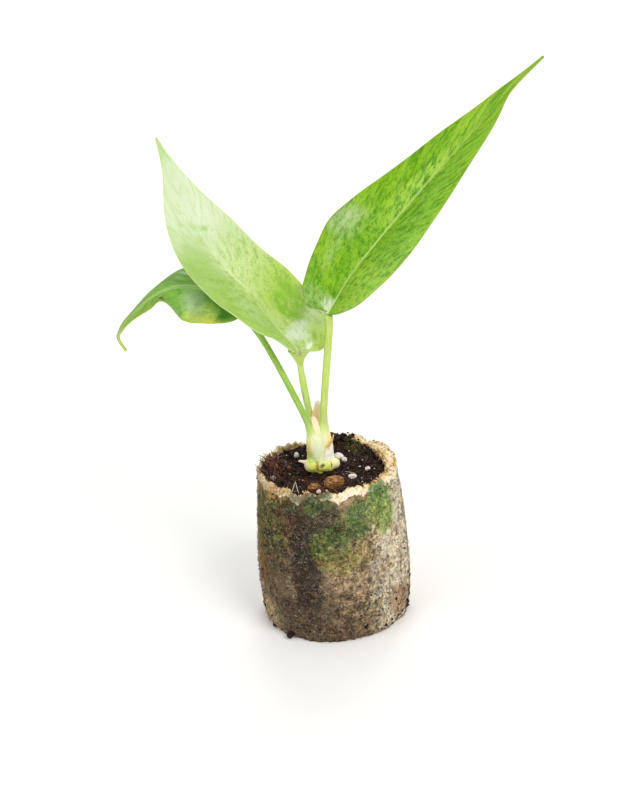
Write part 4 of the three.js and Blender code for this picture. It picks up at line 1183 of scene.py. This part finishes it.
def sleeveShape():
    # A closed loop of rows: up the outside, over the crest and down the inside. The outside stands
    # out by its felt and pits, and the paper's outer layer is torn back by the bevel at the rim.
    angle = 2 * np.pi * np.arange(plug["sides"]) / plug["sides"]
    rim = rimHeight(angle)
    deepest, least = plug["fray"]
    hem = np.maximum(0, deepest * np.sin(4 * angle + 0.6) * np.sin(9 * angle) - least)
    flat = around(plug["middle"], angle, 0)
    hem = hem + 0.35 * np.maximum(0, clouds(flat, 1.5, 41, 2))
    front = ease(-0.75, 0.1, np.cos(angle + 1.0)) * ease(1.2, 0.7, np.cos(angle - 0.6))
    least, most = plug["bevel"]
    back = least + (most - least) * front * np.clip(0.75 + 0.8 * clouds(flat, 4, 43, 2)
                                                    + 0.5 * clouds(flat, 0.9, 49, 2), 0.1, 1.6)
    edge = rim - back
    s = np.linspace(0, 1, plug["outerRows"])[:, None]
    outerZ = hem + (edge - hem) * s
    outerR = sleeveRadius(angle, outerZ)
    points = around(outerR, angle, outerZ)
    felt = clouds(points, 2.4, 11, 4) * plug["felt"] - np.abs(cloud(points, 1.0, 15)) * plug["pits"]
    felt = felt + 0.2 * cloud(points * (1, 1, 0.5), 0.75, 17)
    outerR = outerR + felt + 0.35 * ease(5, 0, outerZ) * cloud(points, 1.6, 19)
    u = np.linspace(0, 1, plug["crestRows"] + 2)[1:-1, None]
    rise, bulge = plug["thick"]
    thick = rise * near(angle, *bulge) * (0.8 + 0.5 * clouds(flat, 3, 45, 2))
    thick = thick + 0.5 * np.maximum(0, clouds(flat, 2.5, 47, 2))
    innerTop = through(plug["profile"], rim)[..., 0] - plug["wall"] - thick
    crestR = outerR[-1] + (innerTop - outerR[-1]) * u
    crestZ = edge + back * ease(0, 0.5, u) + 0.25 * np.sin(np.pi * u)
    crest = around(crestR, angle, crestZ)
    crestZ = crestZ + 0.5 * clouds(crest, 1.0, 23, 3)
    crestR = crestR + 0.25 * cloud(crest, 0.6, 25)
    w = np.linspace(0, 1, plug["innerRows"])[:, None]
    innerZ = rim + (hem - rim) * w ** 1.8
    innerR = through(plug["profile"], innerZ)[..., 0] - plug["wall"] - thick * ease(rim - 5, rim, innerZ)
    innerR = innerR + 0.35 * clouds(around(innerR, angle, innerZ), 1.1, 27, 2) * ease(0.75, 0.1, w)
    radius = np.concatenate([outerR, crestR, innerR])
    points = around(radius, angle, np.maximum(np.concatenate([outerZ, crestZ, innerZ]), 0))
    torn = np.concatenate([ease(0.975, 1, s) + 0 * angle, 1 + 0 * crestZ, ease(0.35, 0.15, w) + 0 * angle])
    inside = np.concatenate([0 * outerZ, 0.6 * u * ease(0.3, 1.5, thick), 1 + 0 * innerZ])
    shape = shapeOf(points, gridQuads(len(radius), plug["sides"], closed=True, looped=True))
    return {**shape, "torn": torn.ravel(), "inside": inside.ravel()}


def sleevePaint():
    paint = Paint("sleevePaper")
    place = paint.place
    grain = paint.noise(place, 0.8, 4, 0.7)
    fibre = paint.noise(place, 0.42, 3, 0.65, 2.0)
    clump = paint.noise(place, 2.2, 4, 0.65)
    broad = paint.noise(place, 7, 3, 0.55)
    paint.colour = paint.mix(broad.band(0.42, 0.6), "d2bb97", "9c8160")
    uneven = paint.wobble(paint.wobble(place, 6, 2), 1.2, 0.7)
    patchy = (grain * 0.5 + clump * 0.5 - 0.5) * 4.5 + 1

    def patch(centre, reach, amount, soft=1.2):
        return (paint.spot(uneven, centre, reach, soft) * patchy).band(0.2, 0.8) * amount

    # the zones: stains, and painted light on the sleeve's right side
    for centre, reach, code, amount, _ in zones:
        paint.cover(patch(centre, reach, amount, 1.3), code)
    for centre, reach, code, amount, size in blots:
        broken = paint.noise(place, size, 3, 0.65).band(0.48, 0.58)
        paint.cover(paint.spot(uneven, centre, reach, 1.2) * broken * amount, code)
    paint.cover(paint.noise(place, 3.2, 4, 0.7).band(0.56, 0.38) * 0.6, "a0968a", "MULTIPLY")
    tone = grain * 0.5 + fibre * 0.3 + clump * 0.2
    hue = paint.noise(place, 1.5, 3, 0.7)
    for high, code in ((0.64, "ffe6b0"), (0.36, "c4d2c8")):
        paint.cover(hue.band(0.5, high) * 0.75, code, "MULTIPLY")
    paint.cover(1.0, paint.ramp(tone, (0.36, "5c544d"), (0.45, "b8b1aa"), (0.53, "f2f0ec"), (0.62, "ffffff")),
                "MULTIPLY")
    bent = paint.wobble(place, 2.2, 1.8)
    for stretch, seed in (((1.4, 1.4, 0.5), 0), ((0.6, 0.6, 1.5), 40)):
        strand = paint.noise(paint.vector("ADD", paint.stretch(bent, stretch), (seed,) * 3), 0.7, 3, 0.6, 1.6)
        paint.cover(strand.band(0.57, 0.67) * 0.22, "f4e6c4", "SCREEN")
        paint.cover(strand.band(0.44, 0.37) * 0.6, "8c7c6e", "MULTIPLY")
    paint.cover(paint.noise(place, 1.3, 4, 0.75).band(0.6, 0.66) * 0.8, "2a211b")
    torn = paint.attribute("torn", "Fac") + (grain - 0.5) * 1.2
    inside = paint.attribute("inside", "Fac")
    cream = paint.ramp(tone, (0.36, "b8935c"), (0.46, "ead5ab"), (0.56, "fff7e2"))
    ochre = paint.ramp(tone, (0.36, "5a3c1e"), (0.43, "cda05a"), (0.51, "f0d497"), (0.6, "fff6dc"))
    paint.cover(torn.band(0.35, 0.75), paint.mix(inside.band(0.2, 0.7), cream, ochre))
    tint = paint.mix(tone.band(0.4, 0.6), "4a443e", "ffffff")
    for centre, reach, code, amount in rimStains:
        paint.cover(patch(centre, reach, amount), paint.mix(1.0, tint, code, "MULTIPLY"))
    return paint.finish(0.92, grain + fibre * 0.6, 0.3, 0.8, 0.2)


addPiece("sleeve_paper", sleeveShape(), sleevePaint(), ["paper_sleeve"])
print("sleeve ready")


# Potting mix

mix = {
    "level": 41.5,
    "mound": (4.5, 13, 6, 2.2),  # x, y, spread and rise
    "leftHeap": (-14, 1, 3.6, 2.2),
    "lumps": (0.4, 0.3),  # height of the broad and of the fine waves
    "rings": 90,
    "sides": 260,
    "gap": 0.25,  # to the sleeve
    "wall": [0.0, 2, 10, 20, 30, 38, 44.5],  # heights of the rings up the wall, the last for its width only
    "rough": (0.75, 2.4),  # height and size of the fine lumps
    "hollows": [  # x, y, spread and depth
        (10.5, -3.5, 3.2, 1.6), (-8.5, -3, 3.6, 1.2), (7, 8, 3, 1), (-6, -13, 3, 0.9),
    ],
    "crumbs": [(80, 0.5, 0.95, 2), (180, 0.35, 0.7, 1), (3600, 0.12, 0.42, 1)],  # number, sizes and detail
    "stains": [  # place, reach, softness, the least grain that takes the colour, and colour
        ((-1.2, -9.5, 43), (6, 4, 3), 1.2, 0.42, "7d4a2c"), ((-14, 1, 43.5), (4, 6, 4), 1, 0.44, "7a4634"),
        ((8.5, 11.5, 44), (3, 2.4, 3), 1, 0.46, "6f7a34"),
    ],
    "heap": (170, 60),  # crumbs piled on the mound and the left heap, and how many of them have more faces
    "tinyCount": 60,  # tiny perlite
    "crown": (-1.7, 2.3),
    "inside": 16.9,  # the heaped crumbs stay within this radius
    "clear": 4.2,  # crumbs keep this far from the crown
}
grains = [  # perlite: x, y, half sizes and sink
    (3.2, 4.9, (1.4, 1.1, 1.2), 0.1), (4.7, 3.9, (0.9, 0.8, 0.8), 0.1), (-7.9, 9.4, (0.8, 0.9, 0.8), 0.3),
    (6.4, -4.6, (1.3, 0.9, 0.6), 0.1), (10.8, 0.4, (0.7, 0.7, 0.6), 0.2),
    (-2.6, -13.2, (0.6, 0.7, 0.6), 0.2), (-14.6, -3.6, (0.8, 0.7, 0.6), 0.2),
]
chips = [(1.5, -8.5, (2.7, 2.3, 1.9), 0.1), (-3.6, -9.6, (1.9, 1.3, 0.9), 0.1)]  # bark, in the same way


def mixHeight(x, y):
    # level + broad lumps + fine lumps + the mound + the heap on the left
    broad, fine = mix["lumps"]
    height = mix["level"] + broad * np.sin(0.9 * x + 1) * np.cos(0.8 * y) + fine * np.sin(1.7 * x - y)
    for hx, hy, spread, rise in (mix["mound"], mix["leftHeap"]):
        height = height + rise * np.exp(-((x - hx) ** 2 + (y - hy) ** 2) / (2 * spread ** 2))
    return height


def nearStone(x, y):
    # 1 over a perlite grain or bark chip and 0 away from it
    total = 0 * x
    for sx, sy, halves, sink in grains + chips:
        away = ((x - sx) / (halves[0] + 0.3)) ** 2 + ((y - sy) / (halves[1] + 0.3)) ** 2
        total = np.maximum(total, np.exp(-away * away))
    return total


def roughMix(x, y):
    # the mix's height with fine lumps, which sinks a little round each stone
    flat = np.stack([x, y, 0 * x], -1)
    tall, size = mix["rough"]
    stone = nearStone(x, y)
    height = mixHeight(x, y) + tall * clouds(flat, size, 51, 4) * (1 - stone) - 0.3 * stone
    for hx, hy, spread, depth in mix["hollows"]:
        height = height - depth * np.exp(-((x - hx) ** 2 + (y - hy) ** 2) / spread ** 2) * (1 - stone)
    return height


def mixShape():
    # Rings from the bottom's middle out to the wall, up it and in over the rough surface.
    angle = 2 * np.pi * np.arange(mix["sides"]) / mix["sides"]
    wall = np.array(mix["wall"])[:, None]
    radius = through(plug["profile"], wall)[..., 0] - plug["wall"] - mix["gap"]
    side = around(radius[:-1], angle, wall[:-1])
    flat = around(radius[-1] * np.linspace(1, 0, mix["rings"])[:-1, None], angle, 0)
    top = flat + roughMix(flat[..., 0], flat[..., 1])[..., None] * (0, 0, 1)
    part = np.linspace(0.06, 0.94, 12)[:, None]
    floor = side[0] * part[..., None]
    floor[..., 2] = 0.25 + 0.25 * cloud(floor, 1.5, 61) * (1 - part ** 4)
    return capped(np.concatenate([floor, side, top])[None])


def soilPaint(name, crumb):
    paint = Paint(name)
    place = paint.place
    grain = paint.noise(place, 0.5, 4, 0.7)
    broad = paint.noise(place, 2.6, 3, 0.6)
    tone = paint.attribute("tint", "Fac") if crumb else broad
    paint.colour = paint.ramp(grain, (0.38, "020101"), (0.51, "0d0705"), (0.59, "2b160d"), (0.68, "6e3f28"))
    paint.cover(tone.band(0.6, 0.9) * 0.5, "401f14")
    for centre, reach, soft, least, code in mix["stains"]:
        mask = paint.spot(paint.wobble(place, 2, 1), centre, reach, soft)
        paint.cover(mask * grain.band(least, 0.6) * 0.7, code)
    paint.cover(tone.band(0.955, 0.975) * 0.6, "8d6136")
    return paint.finish(0.6 + (grain - 0.5) * 0.6, grain, 0.2, 0.8, 0.2)


def scattered(count, reach=16.5, clear=5):
    # x and y of random places on the mix, kept clear of the crown and the stones
    places = np.zeros((0, 2))
    while len(places) < count:
        angle, out = random.uniform(0, 2 * np.pi, count), reach * np.sqrt(random.random(count))
        x, y = out * np.cos(angle), out * np.sin(angle)
        free = (np.hypot(x - mix["crown"][0], y - mix["crown"][1]) >= clear) & (nearStone(x, y) <= 0.5)
        places = np.concatenate([places, np.stack([x, y], -1)[free]])
    return places[:count].T


def onMix(x, y, above=0):
    return np.stack([x, y, roughMix(x, y) + above], -1)


def chunks(centres, size, low, high, detail=1, rough=0.3):
    # rough balls of those sizes, each of them between low and high times as large along each axis
    return lumps(centres, size[:, None] * random.uniform(low, high, (len(size), 3)), detail, rough)


def crumbShape():
    shapes = []
    for count, least, most, detail in mix["crumbs"]:
        size = least + (most - least) * random.random(count) ** 2.5
        x, y = scattered(count, 17.2, mix["clear"])
        centres = onMix(x, y, size * random.uniform(-0.1, 0.6, count))
        shapes.append(chunks(centres, size, 0.6, 1, detail))
    heap, fine = mix["heap"]
    size = random.uniform(0.3, 0.95, heap)
    spot = np.where(random.random(heap)[:, None] < 0.72, (2.8, 14.2), (-14.2, 0.8))
    places = spot + random.normal(size=(heap, 2)) * (2.4, 1.3)
    x, y = (places * np.minimum(1, mix["inside"] / np.hypot(*places.T))[:, None]).T
    centres = onMix(x, y, random.random(heap) ** 1.5 * np.where(y > 8, 1.7, 1.4))
    halves = size[:, None] * random.uniform(0.6, 1, (heap, 3))
    return joined(*shapes, lumps(centres[:fine], halves[:fine], 2), lumps(centres[fine:], halves[fine:], 1))


addPiece("mix_core", mixShape(), soilPaint("mixSoil", False), ["soil_core"])
addPiece("mix_crumbs", crumbShape(), soilPaint("crumbSoil", True), smooth=False)
print("mix ready")


# Loose things in the mix

def stones(rows, rough, size, seed):
    # Balls cut by a few flat planes and roughened by noise, set in the mix: a corner moves in to
    # 1 / (most of its parts along the planes' normals) where that is less than 1.
    shapes = []
    corners, triangles = ball(5)
    for x, y, halves, sink in rows:
        planes = unit(random.normal(size=(14, 3)))
        reach = (corners @ planes.T / random.uniform(0.72, 0.95, 14)).max(axis=1, keepdims=True)
        points = corners / np.maximum(reach, 1) * halves
        points = points * (1 + rough * clouds(points + x, size, seed, 4)[:, None])
        centre = (x, y, mixHeight(x, y) + halves[2] * (1 - sink) / 2)
        shapes.append(shapeOf(points + centre, (), triangles))
    return joined(*shapes)


def perlitePaint():
    paint = Paint("perliteSkin")
    grain = paint.noise(paint.place, 0.35, 3, 0.7)
    paint.colour = paint.ramp(grain, (0.34, "a58f88"), (0.48, "ead9d4"), (0.6, "fdf6f4"))
    return paint.finish(0.8, grain, 0.2)


def barkPaint():
    paint = Paint("barkSkin")
    layer = paint.noise(paint.stretch(paint.place, (0.5, 1, 2.2)), 0.8, 4, 0.7, 1.0)
    grain = paint.noise(paint.place, 0.3, 3, 0.6)
    paint.colour = paint.ramp(layer, (0.36, "2a170c"), (0.46, "7a4a22"), (0.55, "b47c3a"), (0.66, "dcab5e"))
    paint.cover(grain.band(0.55, 0.68) * 0.5, "2a1810")
    return paint.finish(0.6, layer + grain, 0.3)


def grainShape():
    # the large grains, and many tiny white ones
    count = mix["tinyCount"]
    x, y = scattered(count)
    size = 0.08 + 0.16 * random.random(count) ** 2
    tiny = lumps(onMix(x, y, 0.15) + size[:, None] * (0, 0, 0.5), size[:, None], 2)
    return joined(stones(grains, 0.28, 0.8, 71), tiny)


addPiece("perlite_grains", grainShape(), perlitePaint(), ["perlite_%d" % k for k in range(1, 7)])
addPiece("bark_chips", stones(chips, 0.2, 1.4, 81), barkPaint(), ["bark_chip_1", "bark_chip_2"])
print("perlite and bark ready")


# Fibres, moss and specks

strands = {
    "mixCount": 700,
    "tuftCount": 170,
    "feltCount": 2600,
    "mossCount": 8000,
    "speckCount": 900,
    "rimCount": 1300,
    "clodCount": 80,
    "pale": [  # ends of a few lone pale fibres: two that lean together on the rim, and two on the mix
        [(-9.7, -15.6, 43.4), (-8.5, -15.1, 46.4)], [(-7.8, -15.6, 43.1), (-8.5, -15.1, 46.4)],
        [(4.6, -3, 42.5), (7.2, -4.6, 42.5)], [(-15.5, -6.5, 43), (-13.6, -8.4, 42.8)],
    ],
}


def strandPaint(name, dark, main, light):
    paint = Paint(name)
    tone = paint.attribute("tint", "Fac")
    grain = paint.noise(paint.place, 0.8, 2)
    paint.colour = paint.ramp(tone, (0.0, dark), (0.5, main), (1.0, light))
    paint.cover(grain.band(0.4, 0.7) * 0.4, dark)
    return paint.finish(0.7)


def strandShape(starts, ways, bends, lengths, radii, steps):
    # Thin closed fibres with three sides: path = start + length (way s + bend (s^2 - s)) for s from
    # 0 to 1, thinner towards both ends.
    sides = 3
    s = np.linspace(0, 1, steps)[None, :, None]
    lengths = lengths[:, None, None]
    paths = starts[:, None] + lengths * (ways[:, None] * s + bends[:, None] * (s * s - s))
    taper = 0.35 + 0.65 * np.sin(np.pi * np.clip(s[..., 0], 0.08, 0.92))
    across = unit(random.normal(size=(len(starts), 1, 3)))
    shape = capped(tubes(paths, radii[:, None] * taper, sides, across))
    shape["tint"] = np.repeat(random.random(len(starts)), steps * sides + 2)
    return shape


def mixStrands():
    # fibres that lie on the mix, and a tuft of them standing on its left
    count, tuft = strands["mixCount"], strands["tuftCount"]
    x, y = scattered(count)
    starts = onMix(x, y, 0.1)
    ways = unit(np.concatenate([random.normal(size=(count, 2)), random.uniform(0, 0.35, (count, 1))], 1))
    lying = strandShape(starts, ways, 0.8 * random.normal(size=(count, 3)) * (1, 1, 0.3),
                        random.uniform(0.8, 3.2, count), random.uniform(0.03, 0.08, count), 8)
    angle = random.normal(3.1, 0.25, tuft)
    out = random.uniform(13.6, 16.9, tuft)
    starts = onMix(out * np.cos(angle), out * np.sin(angle))
    ways = unit(np.stack([random.normal(-0.2, 0.5, tuft), random.normal(0, 0.5, tuft),
                          random.uniform(0.5, 1.2, tuft)], -1))
    standing = strandShape(starts, ways, 0.7 * random.normal(size=(tuft, 3)),
                           random.uniform(1.2, 3.6, tuft), random.uniform(0.07, 0.15, tuft), 8)
    return joined(lying, standing)


def onSleeve(count, low, high, weight=None):
    # random places on the outside of the sleeve between two heights, thinned by a weight from 0 to 1
    # at each point, with the way out of the surface
    angles, heights = np.zeros(0), np.zeros(0)
    while len(angles) < count:
        angle, z = random.uniform(0, 2 * np.pi, 4 * count), random.uniform(low, high, 4 * count)
        radius = sleeveRadius(angle, z)
        keep = random.random(4 * count) < (weight(around(radius, angle, z)) if weight else 1)
        angles, heights = np.concatenate([angles, angle[keep]]), np.concatenate([heights, z[keep]])
    angle, z = angles[:count], heights[:count]
    return around(sleeveRadius(angle, z), angle, z), around(1, angle, 0)


def feltStrands():
    # loose hairs that lie on the sleeve, darker where the stains are and lighter under the painted light on
    # its right side
    count = strands["feltCount"]
    starts, out = onSleeve(count, 0.3, 42)
    up = np.array([0, 0, 1.0])
    turn = random.uniform(0, 2 * np.pi, (count, 1))
    ways = unit(np.cos(turn) * np.cross(out, up) + np.sin(turn) * up + 0.12 * out)
    bends = 0.3 * random.normal(size=(count, 3))
    bends = bends - dot(bends, out) * out - 0.2 * out
    shape = strandShape(starts + 0.05 * out, ways, bends, random.uniform(0.5, 1.8, count),
                        random.uniform(0.02, 0.045, count), 5)
    shape["points"][:, 2] = np.abs(shape["points"][:, 2])
    shape["tint"] = shape["tint"] * 1.2 * lightness(shape["points"]) ** 3
    return shape


def mossShape():
    # Short spikes in tufts: each is a thin fibre that leans out and up from the paper.
    count = strands["mossCount"]
    starts, out = onSleeve(count, 18, 43.2, lambda p: 0.02 + greenness(p) ** 2 * (
        0.3 + 0.7 * ease(-0.2, 0.5, clouds(p, 1.4, 91, 2))))
    lean = random.normal(size=(count, 3)) * 0.55
    ways = unit(out + lean + (0, 0, 0.25))
    lengths = random.uniform(0.2, 0.6, count) * (0.4 + 0.7 * greenness(starts))
    return strandShape(starts - 0.1 * out, ways, 0.3 * random.normal(size=(count, 3)), lengths,
                       random.uniform(0.03, 0.06, count), 3)


def mossPaint():
    paint = Paint("mossSkin")
    tone = paint.attribute("tint", "Fac")
    broad = paint.noise(paint.place, 3.5, 3)
    # painted light: the moss is lighter towards the sleeve's lit right side and darker towards its left
    litRight = paint.part(paint.place, 0).band(-8, 12)
    dark = paint.ramp(tone, (0.0, "2a3f22"), (0.5, "4a6a38"), (1.0, "8a9a62"))
    bright = paint.ramp(tone, (0.0, "4a7a2e"), (0.5, "8cb650"), (1.0, "d2dc8c"))
    paint.colour = paint.mix((litRight * 0.7 + broad * 0.6).band(0.35, 0.85), dark, bright)
    return paint.finish(0.7, through=0.15, glow="7fb53c")


def speckShape():
    # specks of mix on the sleeve, clods near its foot, and one crumb at its front left
    count = strands["speckCount"]
    centres, out = onSleeve(count, 0.1, 42, lambda p: 0.15 + 0.85 * ease(24, 4, p[:, 2]))
    size = 0.08 + 0.26 * random.random(count) ** 3
    centres[:, 2] = np.maximum(centres[:, 2], 0.5)
    specks = chunks(centres + out * 0.05, size, 0.6, 1.1)
    clods = strands["clodCount"]
    angle = np.where(random.random(clods) < 0.5, random.normal(-0.3, 0.3, clods),
                     random.uniform(-3.1, 3.1, clods))
    z = 0.8 + 9 * random.random(clods) ** 2
    centres = around(sleeveRadius(angle, z) - 0.1, angle, z)
    size = 0.2 + 0.6 * random.random(clods) ** 3
    clods = chunks(centres, size, 0.6, 1.1, 2)
    crumb = lumps(np.array([[-12.9, -15.6, 1.3]]), np.array([[1.1, 0.9, 0.9]]), 3, 0.12)
    return joined(specks, clods, crumb)


def rimPaint():
    paint = Paint("rimSkin")
    tone = paint.attribute("tint", "Fac")
    grain = paint.noise(paint.place, 0.5, 3)
    paint.colour = paint.ramp(tone, (0.0, "6a4622"), (0.15, "b88a46"), (0.5, "e6c27c"), (0.8, "f8e6b8"),
                              (1.0, "fffaea"))
    paint.cover(grain.band(0.52, 0.72) * 0.4, "a0743a")
    return paint.finish(0.85, grain, 0.1)


def rimShape():
    # torn flakes of paper on the rim and down its inner wall, most of them where the rim is thick
    count = strands["rimCount"]
    rise, (middle, wide) = plug["thick"]
    angle = np.where(random.random(count) < 0.8, random.normal(middle, 0.75 * wide, count),
                     random.uniform(-np.pi, np.pi, count))
    thick = rise * near(angle, middle, wide)
    rim = rimHeight(angle)
    part = random.random(count)
    down = (0.1 + 2.6 * ease(0.4, 1.6, thick)) * random.random(count) ** 1.5
    radius = through(plug["profile"], rim)[:, 0] - 0.2 - (plug["wall"] + thick) * part
    centres = around(radius, angle, rim + 0.25 - down * part)
    size = 0.08 + 0.36 * random.random(count) ** 2
    flakes = chunks(centres, size, 0.3, 1.2, rough=0.5)
    ways = unit(random.normal(size=(count, 3)) + (0, 0, 0.4))
    lengths = random.uniform(0.5, 1.5, count)
    fibres = strandShape(centres - ways * lengths[:, None] / 2, ways, 0.4 * random.normal(size=(count, 3)),
                         lengths, random.uniform(0.03, 0.08, count), 5)
    pale = np.array(strands["pale"])
    ways = pale[:, 1] - pale[:, 0]
    lone = strandShape(pale[:, 0], unit(ways), 0.1 * random.normal(size=ways.shape),
                       np.linalg.norm(ways, axis=-1), np.full(len(pale), 0.065), 8)
    lone["tint"][:] = 0.9
    return joined(flakes, fibres, lone)


addPiece("coir_strands", mixStrands(), strandPaint("coirSkin", "20100c", "4e2a20", "9a6244"))
addPiece("felt_strands", feltStrands(), strandPaint("feltSkin", "3a2e24", "96805f", "dccdab"))
addPiece("moss_tufts", mossShape(), mossPaint())
addPiece("rim_flakes", rimShape(), rimPaint(), smooth=False)
addPiece("soil_specks", speckShape(), soilPaint("speckSoil", True), smooth=False)
print("fibres, moss and specks ready")
